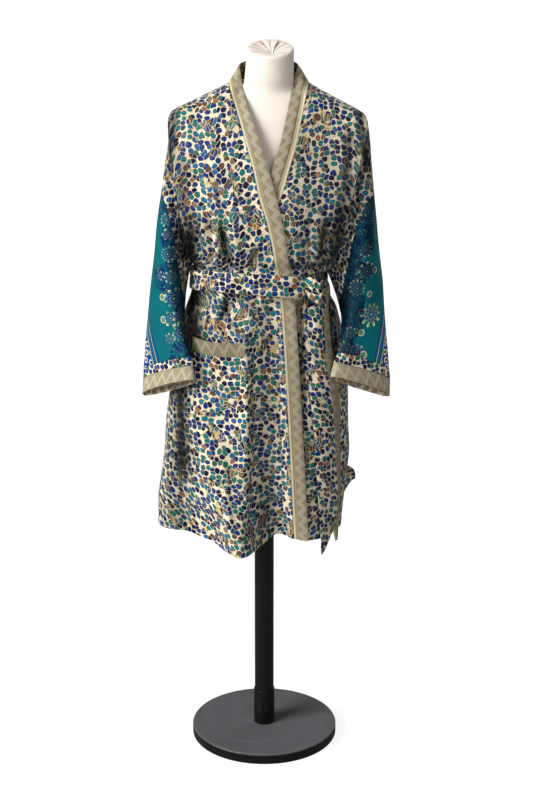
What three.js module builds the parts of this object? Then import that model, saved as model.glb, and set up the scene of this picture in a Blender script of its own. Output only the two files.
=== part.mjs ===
// Midi kimono on a dress form stand.  Millimetres, X to the viewer's right, Y to the back, Z up.
// The cloth is worked out as rows of points round the body, then given its wall.
import * as THREE from "three";

// ---------- driving sizes ----------
const CLOTH = 1.6;
const BAND = 2.0;
const SEAM = 0.5;
const LAP = 7.0;
const MID_X = 5;
const MID_Y = 5;
const HEM_Z = 490;
const NECK_Z = 1456;
const ARM_LEFT_Z = 1088;
const ARM_RIGHT_Z = 1075;
const RIDGE_LEFT_Z = 1404;
const RIDGE_RIGHT_Z = 1402;
const NECK_LEFT_X = -72;
const NECK_RIGHT_X = 92;
const SIDE_POWER = 0.75;
const PLEATS = 14;
const PLEAT_DEPTH = 3.2;
const BASE_RADIUS = 160;
const BASE_HEIGHT = 24;
const POLE_RADIUS = 21;
const SOCKET_RADIUS = 23;
const SOCKET_TOP = 106;
const FORM_BOTTOM = 800;

// ---------- tables, one row for each height ----------
const BODY = {
  z: [490, 560, 620, 680, 740, 800, 900, 980, 1030, 1060, 1088, 1140, 1456],
  left: [-229, -228, -221, -213, -209, -201, -184, -166, -150, -147, -146, -150, -150],
  right: [166, 172, 177, 182, 179, 178, 170, 154, 130, 126, 126, 130, 130],
};
const FRONT = {
  z: [490, 560, 680, 800, 900, 980, 1020, 1060, 1092, 1118, 1150, 1200, 1245, 1300, 1350, 1400, 1425, 1445, 1456],
  out: [101, 106, 112, 118, 119, 113, 106, 104, 105, 116, 119, 117, 109, 97, 83, 67, 52, 31, 0],
};
const BACK = {
  z: [490, 560, 680, 800, 900, 980, 1030, 1060, 1100, 1200, 1300, 1350, 1400, 1430, 1456],
  out: [112, 112, 110, 106, 102, 93, 84, 82, 92, 98, 97, 92, 83, 73, 57],
};
const OVER_EDGE = {
  z: [490, 743, 1037, 1085, 1150, 1201, 1240, 1302, 1354, 1419, 1456],
  outer: [63, 51, 32, 25, 15, 4, -9, -23, -38, -58, -72],
  inner: [95, 81, 62, 54, 45, 36, 28, 11, -6, -36, -50],
  rise: [0, 0, 0, 0, 1, 3, 6, 9, 13, 21, 37],
};
const UNDER_EDGE = {
  z: [490, 1000, 1085, 1201, 1240, 1302, 1347, 1402, 1441, 1456],
  outer: [-45, -35, -20, 14, 29, 46, 60, 76, 86, 92],
  inner: [-83, -73, -58, -23, -8, 13, 29, 48, 62, 69],
  rise: [0, 0, 0, 5, 8, 10, 13, 18, 30, 37],
};
const STAND_OFF = {
  z: [1240, 1302, 1354, 1400, 1430, 1456],
  y: [0, 3, 6, 6, 4, 0],
};
// Folds of the skirt: place across the body in mm from the middle, at the waist end and at the hem.
const SKIRT_FOLDS = [
  { topX: -170, hemX: -168, wide: 26, topOut: -5, hemOut: -16, start: 860 },
  { topX: -168, hemX: -50, wide: 34, topOut: 6, hemOut: 54, start: 830 },
  { topX: -20, hemX: 28, wide: 30, topOut: -4, hemOut: -30, start: 820 },
  { topX: 112, hemX: 96, wide: 24, topOut: 3, hemOut: 5, start: 960 },
  { topX: 148, hemX: 140, wide: 16, topOut: -3, hemOut: -9, start: 960 },
];
const BACK_FOLDS = [
  { topX: -130, hemX: -150, wide: 30, topOut: 4, hemOut: 16, start: 940 },
  { topX: -60, hemX: -70, wide: 26, topOut: -4, hemOut: -22, start: 960 },
  { topX: 10, hemX: 5, wide: 32, topOut: 5, hemOut: 20, start: 980 },
  { topX: 70, hemX: 72, wide: 24, topOut: -4, hemOut: -18, start: 960 },
  { topX: 130, hemX: 150, wide: 34, topOut: 2, hemOut: 12, start: 900 },
];
// How far the hem sits above or below its common height, across the front and the back.
const HEM_FRONT = {
  x: [-229, -165, -115, -82, -51, -15, 34, 96, 118, 159, 166],
  up: [18, 20, 11, -4, -6, -3, 14, 7, 6, 15, 14],
};
const HEM_BACK = {
  x: [-229, -100, 0, 60, 100, 143, 158, 166],
  up: [18, 6, 4, 10, 36, 84, 62, 14],
};
// Sleeve rings from armhole to cuff: top line o, underarm line i, half depth b, and how the
// ring hangs (a large lag keeps the ring level over the front and drops it behind the fold).
const SLEEVE_LEFT = {
  t: [0, 0.1, 0.2, 0.3, 0.42, 0.54, 0.66, 0.78, 0.88, 0.93, 0.96, 1],
  ox: [-180, -184, -195, -206, -217, -224, -232, -240, -247, -251, -252, -254],
  oy: [5, 4, 2, 0, -4, -10, -18, -27, -37, -42, -44, -46],
  oz: [1404, 1355, 1300, 1238, 1176, 1114, 1052, 986, 912, 865, 843, 810],
  ix: [-146, -157, -161, -164, -165, -165, -163, -158, -151, -147, -145, -141],
  iy: [5, 4, -2, -14, -30, -50, -70, -90, -108, -118, -121, -124],
  iz: [1088, 1058, 1034, 1014, 997, 981, 966, 950, 930, 914, 896, 866],
  bx: [-23, -17, -14, -12, -11, -10, -9, -9, -9, -9, -9, -9],
  by: [-85, -80, -73, -66, -58, -49, -39, -29, -20, -16, -15, -14],
  bz: [0, 0, 0, 0, 2, 3, 4, 6, 8, 9, 10, 11],
  lag: [1.5, 1.9, 2.2, 2.4, 2.4, 2.2, 1.9, 1.6, 1.2, 1, 1, 1],
};
const SLEEVE_RIGHT = {
  t: [0, 0.1, 0.2, 0.3, 0.42, 0.54, 0.66, 0.78, 0.88, 0.93, 0.96, 1],
  ox: [186, 200, 208, 219, 228, 236, 244, 249, 256, 261, 263, 263],
  oy: [5, 4, 2, 0, -4, -10, -18, -25, -33, -38, -39, -40],
  oz: [1402, 1352, 1300, 1239, 1176, 1114, 1052, 988, 915, 861, 841, 805],
  ix: [126, 139, 147, 153, 157, 160, 160, 158, 155, 151, 143, 136],
  iy: [5, 4, -2, -14, -30, -48, -64, -79, -92, -100, -103, -106],
  iz: [1075, 1048, 1026, 1008, 992, 977, 962, 947, 932, 918, 897, 868],
  bx: [40, 30, 24, 17, 13, 10, 9, 8, 8, 8, 8, 8],
  by: [-85, -80, -73, -66, -58, -49, -39, -29, -20, -16, -15, -14],
  bz: [0, 0, 0, 0, 2, 3, 4, 6, 8, 9, 9, 9],
  lag: [1.5, 1.9, 2.2, 2.4, 2.4, 2.2, 1.9, 1.6, 1.2, 1, 1, 1],
};
const SLEEVE_SEAM = 0.3;
const STRIP_TOP = 0.93;
const CUFF_TOP = 0.96;
const FORM = {
  z: [800, 806, 850, 920, 1000, 1060, 1110, 1180, 1250, 1310, 1360, 1392, 1412, 1430, 1446, 1458, 1470, 1505],
  left: [-112, -128, -140, -134, -112, -104, -112, -126, -136, -142, -150, -152, -130, -90, -52, -41, -39, -36],
  right: [104, 120, 132, 126, 104, 96, 106, 124, 138, 148, 156, 160, 142, 106, 68, 60, 60, 60],
  front: [78, 90, 98, 96, 84, 80, 88, 96, 88, 74, 64, 57, 50, 44, 41, 42, 44, 45],
  back: [74, 86, 92, 84, 68, 64, 72, 80, 80, 74, 66, 60, 54, 50, 48, 48, 47, 46],
  power: [2.3, 2.3, 2.3, 2.3, 2.2, 2.2, 2.2, 2.2, 2.1, 2, 1.8, 1.6, 1.5, 1.5, 1.6, 1.8, 2, 2],
};
const FORM_TOP_FRONT = 1508;
const FORM_TOP_BACK = 1532;
const BELT = {
  angle: [0, 0.45, 0.9, 1.3, 1.65, 2.0, 2.4, 2.75, Math.PI],
  top: [1072, 1083, 1089, 1089, 1087, 1082, 1074, 1063, 1058],
  low: [1032, 1041, 1047, 1046, 1042, 1036, 1030, 1022, 1018],
};
const TAIL_PRINT = {
  z: [457, 487, 510, 560, 660, 780, 880, 950, 1000, 1024],
  left: [118, 117, 116, 114, 107, 99, 89, 86, 88, 94],
  right: [122, 139, 151, 152, 149, 141, 128, 122, 119, 114],
};
const TAIL_TRIM = {
  z: [467, 505, 560, 670, 780, 860, 940, 1000, 1046],
  left: [151, 143, 126, 122, 118, 112, 106, 106, 108],
  right: [156, 158, 159, 160, 157, 147, 137, 130, 123],
};
const POCKET = { left: -146, right: -38, top: 946, band: 916, bottom: 792 };

// ---------- small helpers ----------
const clamp = (v, lo, hi) => Math.min(hi, Math.max(lo, v));
const mix = (a, b, t) => a + (b - a) * t;

function ease(lo, hi, v) {
  const t = clamp((v - lo) / (hi - lo), 0, 1);
  return t * t * (3 - 2 * t);
}

function across(angle) {
  return Math.max(0, Math.sin(angle));
}

function hump(v) {
  return Math.exp(-v * v);
}

function slopes(xs, ys) {
  const n = xs.length;
  const d = [];
  for (let i = 0; i < n - 1; i += 1) d.push((ys[i + 1] - ys[i]) / (xs[i + 1] - xs[i]));
  const m = [d[0]];
  for (let i = 1; i < n - 1; i += 1) {
    m.push(d[i - 1] * d[i] <= 0 ? 0 : (2 * d[i - 1] * d[i]) / (d[i - 1] + d[i]));
  }
  m.push(d[n - 2]);
  return m;
}

function read(table, key, column, at) {
  const xs = table[key];
  const ys = table[column];
  const m = slopes(xs, ys);
  const v = clamp(at, xs[0], xs[xs.length - 1]);
  let i = 0;
  while (i < xs.length - 2 && v > xs[i + 1]) i += 1;
  const h = xs[i + 1] - xs[i];
  const t = (v - xs[i]) / h;
  const a = 2 * t * t * t - 3 * t * t + 1;
  const b = t * t * t - 2 * t * t + t;
  const c = t * t * t - t * t;
  return a * ys[i] + b * h * m[i] + (1 - a) * ys[i + 1] + c * h * m[i + 1];
}

// ---------- sleeve rings ----------
function sleevePoint(rings, t, turn) {
  const get = (column) => read(rings, "t", column, t);
  const half = [get("ox") - get("ix"), get("oy") - get("iy"), get("oz") - get("iz")];
  const mid = [get("ox") + get("ix"), get("oy") + get("iy"), get("oz") + get("iz")];
  const front = Math.sin(turn) >= 0;
  const wide = Math.abs(Math.sin(turn)) ** 0.82 * (front ? 1 : -1);
  const part = Math.acos(clamp(Math.cos(turn), -1, 1)) / Math.PI;
  const drop = Math.cos(Math.PI * part ** (front ? get("lag") : 1));
  const skew = front ? 1 : 0.4;
  return new THREE.Vector3(
    mid[0] / 2 + (half[0] / 2) * Math.cos(turn) + get("bx") * wide * skew,
    mid[1] / 2 + (half[1] / 2) * Math.cos(turn) + get("by") * wide,
    mid[2] / 2 + (half[2] / 2) * drop + get("bz") * wide,
  );
}

// Straight out of the armhole, in the plane of its seam.
function armholeNormal(side, p) {
  const rings = side < 0 ? SLEEVE_LEFT : SLEEVE_RIGHT;
  const half = (rings.oz[0] - rings.iz[0]) / 2;
  const mid = (rings.oz[0] + rings.iz[0]) / 2;
  return new THREE.Vector3(0, (p.y - MID_Y) / rings.by[0] ** 2, (p.z - mid) / half ** 2).normalize();
}

// ---------- body surface ----------
// side -1 is the viewer's left.  Below the underarm the side is the seam, above it the armhole.
function sidePoint(side, height, behind) {
  const rings = side < 0 ? SLEEVE_LEFT : SLEEVE_RIGHT;
  const under = side < 0 ? ARM_LEFT_Z : ARM_RIGHT_Z;
  const ridge = side < 0 ? RIDGE_LEFT_Z : RIDGE_RIGHT_Z;
  if (height <= under) {
    const x = read(BODY, "z", side < 0 ? "left" : "right", height);
    return { x, depth: 0, z: height };
  }
  const share = clamp((height - under) / (NECK_Z - under), 0, 1);
  const lag = behind ? 1 : rings.lag[0];
  const part = (Math.acos(clamp(2 * share - 1, -1, 1)) / Math.PI) ** (1 / lag);
  const turn = Math.PI * part * (behind ? -1 : 1);
  const p = sleevePoint(rings, 0, turn);
  return { x: p.x, depth: Math.abs(p.y - MID_Y), z: mix(under, ridge, share) };
}

function angleAt(x, height, behind) {
  const side = x < MID_X ? -1 : 1;
  const reach = Math.abs(sidePoint(side, height, behind).x - MID_X);
  const c = clamp(Math.abs(x - MID_X) / reach, 0, 1);
  return side < 0 ? Math.acos(c) : Math.PI - Math.acos(c);
}

function foldOut(folds, x, height) {
  let out = 0;
  for (const f of folds) {
    const t = ease(f.start, HEM_Z, height) * ease(1010, 960, height);
    const place = mix(f.topX, f.hemX, clamp((f.start - height) / (f.start - HEM_Z), 0, 1));
    const size = mix(f.topOut, f.hemOut, clamp((f.start - height) / (f.start - HEM_Z), 0, 1));
    const on = height > f.start ? ease(1000, f.start, height) : 1;
    out += size * on * Math.max(t, 0.5 * on) * hump((x - place) / f.wide);
  }
  return out;
}

function pleatOut(angle, height) {
  const near = ease(900, 1000, height) * ease(1050, 1020, height);
  const above = ease(1096, 1125, height) * ease(1230, 1140, height);
  const fade = across(angle) ** 1.5;
  return -PLEAT_DEPTH * (near + above) * fade * (0.5 + 0.5 * Math.cos(PLEATS * angle));
}

function lapOut(angle, height) {
  return LAP * ease(0.2, 0.9, angle) * ease(1440, 1330, height);
}

function bodyPoint(angle, height, behind, over) {
  const side = angle < Math.PI / 2 ? -1 : 1;
  const edge = sidePoint(side, height, behind);
  const x = MID_X + (edge.x - MID_X) * Math.abs(Math.cos(angle));
  const neckX = side < 0 ? NECK_LEFT_X : NECK_RIGHT_X;
  const along = clamp((edge.x - x) / (edge.x - neckX), 0, 1);
  const full = read(behind ? BACK : FRONT, "z", "out", height);
  let share = across(angle) ** SIDE_POWER;
  if (behind) {
    const neckShare = Math.sqrt(Math.max(0, 1 - ((x - 10) / 82) ** 2));
    share = mix(share, neckShare, ease(1370, NECK_Z, height) ** 2);
  }
  let out = mix(edge.depth, full, share);
  const low = ease(1010, 940, height);
  if (low > 0) out += foldOut(behind ? BACK_FOLDS : SKIRT_FOLDS, x, height) * across(angle) ** 0.5;
  if (height > 880 && height < 1230) out += pleatOut(angle, height);
  if (over) out += lapOut(angle, height);
  const hem = read(behind ? HEM_BACK : HEM_FRONT, "x", "up", x) * ease(640, HEM_Z, height);
  const corner = behind ? Math.max(0, 1 - Math.abs(angle - 2.6) / 0.42) ** 1.3 * across(angle) ** 0.4 : 0;
  const flare = 74 * corner * ease(680, HEM_Z, height) ** 1.4;
  const z = edge.z + (height - edge.z) * along + hem;
  return new THREE.Vector3(x + flare, MID_Y + (behind ? out : -out), z);
}

// ---------- solids from grids ----------
// points[i][j]; shut joins the last column to the first.  The wall grows from the grid inward.
function surfaceNormal(surface, u, v, du, dv, sign) {
  const along = surface(u + du, v).sub(surface(u - du, v));
  const up = surface(u, v + dv).sub(surface(u, v - dv));
  return along.cross(up).normalize().multiplyScalar(sign);
}

function normalsOf(points, shut, sign) {
  const n = points.length;
  const m = points[0].length;
  const result = [];
  for (let i = 0; i < n; i += 1) {
    result.push([]);
    for (let j = 0; j < m; j += 1) {
      const before = shut ? points[(i + n - 1) % n][j] : points[Math.max(i - 1, 0)][j];
      const after = shut ? points[(i + 1) % n][j] : points[Math.min(i + 1, n - 1)][j];
      const below = points[i][Math.max(j - 1, 0)];
      const above = points[i][Math.min(j + 1, m - 1)];
      const du = after.clone().sub(before);
      const dv = above.clone().sub(below);
      result[i].push(du.cross(dv).normalize().multiplyScalar(sign));
    }
  }
  return result;
}

function wallSolid(points, wall, options) {
  const shut = Boolean(options.shut);
  const n = points.length;
  const m = points[0].length;
  const normals = options.normals || normalsOf(points, shut, options.sign);
  const at = [];
  const index = (layer, i, j) => layer * n * m + ((i + n) % n) * m + j;
  for (let layer = 0; layer < 2; layer += 1) {
    for (let i = 0; i < n; i += 1) {
      for (let j = 0; j < m; j += 1) {
        const normal = normals[i][j].clone();
        if (options.trim) options.trim(i, j, normal);
        const p = points[i][j].clone().addScaledVector(normal, -wall * layer);
        at.push(p.x, p.y, p.z);
      }
    }
  }
  const faces = [];
  const quad = (a, b, c, d) => faces.push(a, b, c, a, c, d);
  const columns = shut ? n : n - 1;
  for (let i = 0; i < columns; i += 1) {
    for (let j = 0; j < m - 1; j += 1) {
      quad(index(0, i, j), index(0, i + 1, j), index(0, i + 1, j + 1), index(0, i, j + 1));
      quad(index(1, i, j), index(1, i, j + 1), index(1, i + 1, j + 1), index(1, i + 1, j));
    }
    quad(index(1, i, 0), index(1, i + 1, 0), index(0, i + 1, 0), index(0, i, 0));
    quad(index(0, i, m - 1), index(0, i + 1, m - 1), index(1, i + 1, m - 1), index(1, i, m - 1));
  }
  if (!shut) {
    for (let j = 0; j < m - 1; j += 1) {
      quad(index(0, 0, j), index(0, 0, j + 1), index(1, 0, j + 1), index(1, 0, j));
      quad(index(1, n - 1, j), index(1, n - 1, j + 1), index(0, n - 1, j + 1), index(0, n - 1, j));
    }
  }
  return outward(at, faces);
}

function outward(at, faces) {
  let volume = 0;
  const v = (k) => new THREE.Vector3(at[3 * k], at[3 * k + 1], at[3 * k + 2]);
  for (let k = 0; k < faces.length; k += 3) {
    volume += v(faces[k]).dot(v(faces[k + 1]).cross(v(faces[k + 2])));
  }
  if (volume < 0) {
    for (let k = 0; k < faces.length; k += 3) {
      const swap = faces[k + 1];
      faces[k + 1] = faces[k + 2];
      faces[k + 2] = swap;
    }
  }
  const geometry = new THREE.BufferGeometry();
  geometry.setAttribute("position", new THREE.Float32BufferAttribute(at, 3));
  geometry.setIndex(faces);
  geometry.computeVertexNormals();
  return geometry;
}

// Rings of points closed by a fan at each end.
function ringSolid(rings) {
  const n = rings[0].length;
  const at = [];
  for (const ring of rings) for (const p of ring) at.push(p.x, p.y, p.z);
  const faces = [];
  for (let k = 0; k < rings.length - 1; k += 1) {
    for (let i = 0; i < n; i += 1) {
      const a = k * n + i;
      const b = k * n + ((i + 1) % n);
      faces.push(a, b, b + n, a, b + n, a + n);
    }
  }
  for (const [k, flip] of [[0, true], [rings.length - 1, false]]) {
    const centre = new THREE.Vector3();
    for (const p of rings[k]) centre.addScaledVector(p, 1 / n);
    const c = at.length / 3;
    at.push(centre.x, centre.y, centre.z);
    for (let i = 0; i < n; i += 1) {
      const a = k * n + i;
      const b = k * n + ((i + 1) % n);
      if (flip) faces.push(c, b, a);
      else faces.push(c, a, b);
    }
  }
  return outward(at, faces);
}

function turned(profile, segments) {
  const rings = profile.map(([radius, z]) => {
    const ring = [];
    for (let i = 0; i < segments; i += 1) {
      const a = (2 * Math.PI * i) / segments;
      ring.push(new THREE.Vector3(radius * Math.cos(a), radius * Math.sin(a), z));
    }
    return ring;
  });
  return ringSolid(rings);
}

// ---------- garment pieces ----------
function rowHeights(low, high, armhole, lowCount, highCount) {
  const rows = [];
  for (let k = 0; k < lowCount; k += 1) rows.push(mix(low, armhole, k / lowCount));
  for (let k = 0; k <= highCount; k += 1) {
    rows.push(armhole + ((high - armhole) * (1 - Math.cos((Math.PI * k) / highCount))) / 2);
  }
  return rows;
}

function frontPanel(side, over) {
  const armhole = side < 0 ? ARM_LEFT_Z : ARM_RIGHT_Z;
  const edge = over ? OVER_EDGE : UNDER_EDGE;
  const rows = rowHeights(HEM_Z, NECK_Z, armhole, 16, 12);
  const columns = over ? 24 : 18;
  const points = [];
  for (let i = 0; i <= columns; i += 1) {
    const column = rows.map((height) => {
      const end = angleAt(read(edge, "z", "outer", height), height, false);
      const inset = 0.13 * ease(armhole, armhole + 40, height);
      const start = side < 0 ? inset : Math.PI - inset;
      const p = bodyPoint(mix(start, end, i / columns), height, false, over);
      p.y -= SEAM / 2;
      return p;
    });
    points.push(column);
  }
  const last = rows.length - 1;
  const trim = (i, j, normal) => {
    if ((i === 0 && rows[j] <= armhole) || j === last) normal.y = 0;
    if (i === 0 && rows[j] > armhole) normal.copy(armholeNormal(side, points[i][j]));
    normal.normalize();
  };
  return wallSolid(points, CLOTH, { sign: side < 0 ? 1 : -1, trim });
}

function backPanel() {
  const rows = rowHeights(HEM_Z, NECK_Z, 1082, 15, 11);
  const columns = 26;
  const points = [];
  for (let i = 0; i <= columns; i += 1) {
    const column = rows.map((height) => {
      const inset = 0.13 * ease(1082, 1122, height);
      const p = bodyPoint(mix(inset, Math.PI - inset, i / columns), height, true, false);
      p.y += SEAM / 2;
      return p;
    });
    points.push(column);
  }
  const last = rows.length - 1;
  const trim = (i, j, normal) => {
    const seam = i === 0 || i === columns;
    if (seam && rows[j] <= 1082) normal.y = 0;
    if (seam && rows[j] > 1082) normal.copy(armholeNormal(i === 0 ? -1 : 1, points[i][j]));
    if (j === last && (i < 6 || i > columns - 6)) normal.y = 0;
    normal.normalize();
  };
  return wallSolid(points, CLOTH, { sign: -1, trim });
}

function sleeveTube(rings, from, to, count, wall, side) {
  const around = 24;
  const surface = (turn, t) => sleevePoint(rings, clamp(t, 0, 1), turn);
  const points = [];
  const normals = [];
  for (let i = 0; i < around; i += 1) {
    const column = [];
    const outs = [];
    const turn = (2 * Math.PI * (i + 0.5)) / around;
    for (let j = 0; j <= count; j += 1) {
      const t = mix(from, to, j / count);
      const p = surface(turn, t);
      const atBody = j === 0 && from < 0.05;
      column.push(p);
      outs.push(atBody ? armholeNormal(side, p) : surfaceNormal(surface, turn, t, 0.05, 0.012, side));
    }
    points.push(column);
    normals.push(outs);
  }
  return wallSolid(points, wall, { shut: true, normals });
}

function bandPoint(edge, height, share, over) {
  const outerX = read(edge, "z", "outer", height);
  const innerX = read(edge, "z", "inner", height);
  const rise = read(edge, "z", "rise", height);
  const outer = bodyPoint(angleAt(outerX, height, false), height, false, over);
  const inner = bodyPoint(angleAt(innerX, height, false), height, false, over);
  const high = ease(1180, 1330, height);
  const stand = read(STAND_OFF, "z", "y", height);
  const upper = Math.min(height + rise, NECK_Z);
  const depth = read(FRONT, "z", "out", upper) + (over ? LAP * ease(1440, 1330, height) : 0);
  const top = ease(1400, NECK_Z, height);
  const frontY = mix(MID_Y - depth - stand, MID_Y - 42 * (1 - top), top);
  inner.set(innerX, mix(inner.y, frontY, high), inner.z + rise);
  return outer.lerp(inner, share);
}

function neckBand(side, over) {
  const edge = over ? OVER_EDGE : UNDER_EDGE;
  const armhole = side < 0 ? ARM_LEFT_Z : ARM_RIGHT_Z;
  const rows = rowHeights(HEM_Z, NECK_Z, armhole, 14, 14);
  const points = [];
  for (let i = 0; i <= 3; i += 1) {
    const column = rows.map((height) => {
      const outerX = read(edge, "z", "outer", height);
      const innerX = read(edge, "z", "inner", height);
      const start = 1.5 / Math.abs(innerX - outerX);
      const p = bandPoint(edge, height, mix(start, 1, i / 3), over);
      p.y -= SEAM / 2;
      return p;
    });
    points.push(column);
  }
  const last = rows.length - 1;
  const trim = (i, j, normal) => {
    if (j === last) normal.y = 0;
    normal.normalize();
  };
  return wallSolid(points, BAND, { sign: side < 0 ? 1 : -1, trim });
}

function collarBack() {
  const around = 16;
  const points = [];
  for (let i = 0; i <= 3; i += 1) {
    const column = [];
    for (let j = 0; j <= around; j += 1) {
      const turn = (Math.PI * j) / around;
      const low = new THREE.Vector3(10 - 82 * Math.cos(turn), MID_Y + 57 * Math.sin(turn), NECK_Z + 1);
      const topX = mix(-50, 69, (1 - Math.cos(turn)) / 2);
      const high = new THREE.Vector3(topX, MID_Y + 54 * Math.sin(turn), NECK_Z + 37 + 4 * Math.sin(turn));
      const p = low.lerp(high, i / 3);
      p.y += SEAM / 2;
      column.push(p);
    }
    points.push(column);
  }
  const trim = (i, j, normal) => {
    if (j === 0 || j === around) normal.y = 0;
    normal.normalize();
  };
  return wallSolid(points, BAND, { sign: 1, trim });
}

function patch(left, right, low, high, columns, rows, away, wall) {
  const points = [];
  for (let i = 0; i <= columns; i += 1) {
    const column = [];
    for (let j = 0; j <= rows; j += 1) {
      const height = mix(low, high, j / rows);
      const x = mix(left, right, i / columns);
      column.push(bodyPoint(angleAt(x, height, false), height, false, true));
    }
    points.push(column);
  }
  const normals = normalsOf(points, false, 1);
  const moved = points.map((column, i) => column.map((p, j) => p.clone().addScaledVector(normals[i][j], away)));
  return wallSolid(moved, wall, { sign: 1 });
}

function beltPoint(turn, share) {
  const behind = turn > Math.PI;
  const angle = behind ? 2 * Math.PI - turn : turn;
  const low = behind ? mix(1032, 1018, angle / Math.PI) : read(BELT, "angle", "low", angle);
  const top = behind ? mix(1072, 1058, angle / Math.PI) : read(BELT, "angle", "top", angle);
  const height = mix(low, top, share);
  const level = Math.min(height, 1055);
  const side = angle < Math.PI / 2 ? -1 : 1;
  const reach = Math.abs(sidePoint(side, level, behind).x - MID_X) + 5.5;
  const deep = read(behind ? BACK : FRONT, "z", "out", level) + (behind ? 8 : LAP + 7.5);
  const x = MID_X + side * reach * Math.abs(Math.cos(angle));
  const y = deep * across(angle) ** SIDE_POWER;
  return new THREE.Vector3(x, MID_Y + (behind ? y : -y), height);
}

function beltWaist() {
  const around = 44;
  const points = [];
  for (let i = 0; i < around; i += 1) {
    const column = [];
    for (let j = 0; j <= 3; j += 1) {
      const p = beltPoint((2 * Math.PI * i) / around, j / 3);
      column.push(p);
    }
    points.push(column);
  }
  return wallSolid(points, BAND, { shut: true, sign: 1 });
}

function tail(table, rows, away) {
  const low = table.z[0];
  const high = table.z[table.z.length - 1];
  const points = [];
  for (let i = 0; i <= 3; i += 1) {
    const column = [];
    for (let j = 0; j <= rows; j += 1) {
      const height = mix(low, high, j / rows);
      const x = mix(read(table, "z", "left", height), read(table, "z", "right", height), i / 3);
      column.push(bodyPoint(angleAt(x, height, false), height, false, true));
    }
    points.push(column);
  }
  const normals = normalsOf(points, false, 1);
  const lift = (j) => away + 9 * ease(990, high, mix(low, high, j / rows));
  const moved = points.map((column, i) => column.map((p, j) => p.addScaledVector(normals[i][j], lift(j))));
  return wallSolid(moved, CLOTH, { sign: 1 });
}

function knot() {
  const base = beltPoint(2.42, 0.5);
  const rings = [];
  for (let k = 1; k < 10; k += 1) {
    const rise = (Math.PI * k) / 10;
    const ring = [];
    for (let i = 0; i < 16; i += 1) {
      const a = (2 * Math.PI * i) / 16;
      const ripple = 1 + 0.07 * Math.cos(3 * a + 2 * Math.cos(rise));
      ring.push(new THREE.Vector3(
        base.x + 3 + 17 * Math.sin(rise) * Math.cos(a) * ripple + 6 * Math.cos(rise),
        base.y - 19 + 13 * Math.sin(rise) * Math.sin(a) * ripple,
        base.z - 28 * Math.cos(rise),
      ));
    }
    rings.push(ring);
  }
  return ringSolid(rings);
}

// ---------- dress form and stand ----------
function dressForm() {
  const around = 32;
  const rings = [];
  const addRing = (height, lift) => {
    const get = (column) => read(FORM, "z", column, height);
    const ring = [];
    for (let i = 0; i < around; i += 1) {
      const a = (2 * Math.PI * i) / around;
      const c = Math.cos(a);
      const s = Math.sin(a);
      const power = 2 / get("power");
      const centre = mix(4, 12, ease(1380, 1460, height));
      const reachX = c < 0 ? centre - get("left") : get("right") - centre;
      const reachY = s < 0 ? get("front") : get("back");
      const x = centre + reachX * Math.sign(c) * Math.abs(c) ** power;
      const y = reachY * Math.sign(s) * Math.abs(s) ** power;
      ring.push(new THREE.Vector3(x, y, height + lift(y)));
    }
    rings.push(ring);
  };
  for (const height of FORM.z) addRing(height, () => 0);
  const slope = (FORM_TOP_BACK - FORM_TOP_FRONT) / 92;
  addRing(1505, (y) => 12 + slope * (y + 46) - 5);
  const top = rings[rings.length - 1];
  const inner = (share, lift) => top.map((p) => new THREE.Vector3(mix(12, p.x, share), p.y * share, p.z + lift));
  rings.push(inner(0.93, 4));
  rings.push(inner(0.6, 4.5));
  rings.push(inner(0.2, 1));
  return ringSolid(rings);
}

// ---------- assembly ----------
const part = new THREE.Group();
part.name = "midi_kimono_on_dress_form";

const LOOKS = {
  print: { color: 0xc9b68e, roughness: 0.55, metalness: 0 },
  teal: { color: 0x1f6f86, roughness: 0.55, metalness: 0 },
  trim: { color: 0xa79a7c, roughness: 0.6, metalness: 0 },
  jersey: { color: 0xd9ceb4, roughness: 0.9, metalness: 0 },
  black: { color: 0x121214, roughness: 0.4, metalness: 0.2 },
};

function add(name, geometry, look) {
  const mesh = new THREE.Mesh(geometry, new THREE.MeshStandardMaterial(LOOKS[look]));
  mesh.name = name;
  part.add(mesh);
}

add("base_disc", turned([[157, 0], [BASE_RADIUS, 3], [BASE_RADIUS, BASE_HEIGHT - 4], [158.8, BASE_HEIGHT - 1.2],
  [156, BASE_HEIGHT]], 64), "black");
add("pole_socket", turned([[SOCKET_RADIUS, BASE_HEIGHT], [SOCKET_RADIUS, SOCKET_TOP - 2],
  [SOCKET_RADIUS - 1, SOCKET_TOP]], 40), "black");
add("pole", turned([[POLE_RADIUS, SOCKET_TOP], [POLE_RADIUS, FORM_BOTTOM]], 40), "black");
add("dress_form", dressForm(), "jersey");
add("front_right", frontPanel(-1, true), "print");
add("front_left", frontPanel(1, false), "print");
add("back", backPanel(), "print");
add("neckband_right", neckBand(-1, true), "trim");
add("neckband_left", neckBand(1, false), "trim");
add("neckband_back", collarBack(), "trim");
for (const [name, rings, side] of [["right", SLEEVE_LEFT, -1], ["left", SLEEVE_RIGHT, 1]]) {
  add(`sleeve_${name}_upper`, sleeveTube(rings, 0.006, SLEEVE_SEAM - 0.002, 6, CLOTH, side), "print");
  add(`sleeve_${name}_lower`, sleeveTube(rings, SLEEVE_SEAM + 0.002, STRIP_TOP - 0.001, 9, CLOTH, side), "teal");
  add(`sleeve_${name}_strip`, sleeveTube(rings, STRIP_TOP + 0.001, CUFF_TOP - 0.001, 1, CLOTH, side), "print");
  add(`sleeve_${name}_cuff`, sleeveTube(rings, CUFF_TOP + 0.001, 1, 2, BAND, side), "trim");
}
add("pocket", patch(POCKET.left, POCKET.right, POCKET.bottom, POCKET.band, 8, 6, 3.4, CLOTH), "print");
add("pocket_band", patch(POCKET.left, POCKET.right, POCKET.band + 0.5, POCKET.top, 8, 2, 3.8, BAND), "trim");
add("belt_waist", beltWaist(), "print");
add("belt_knot", knot(), "print");
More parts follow.
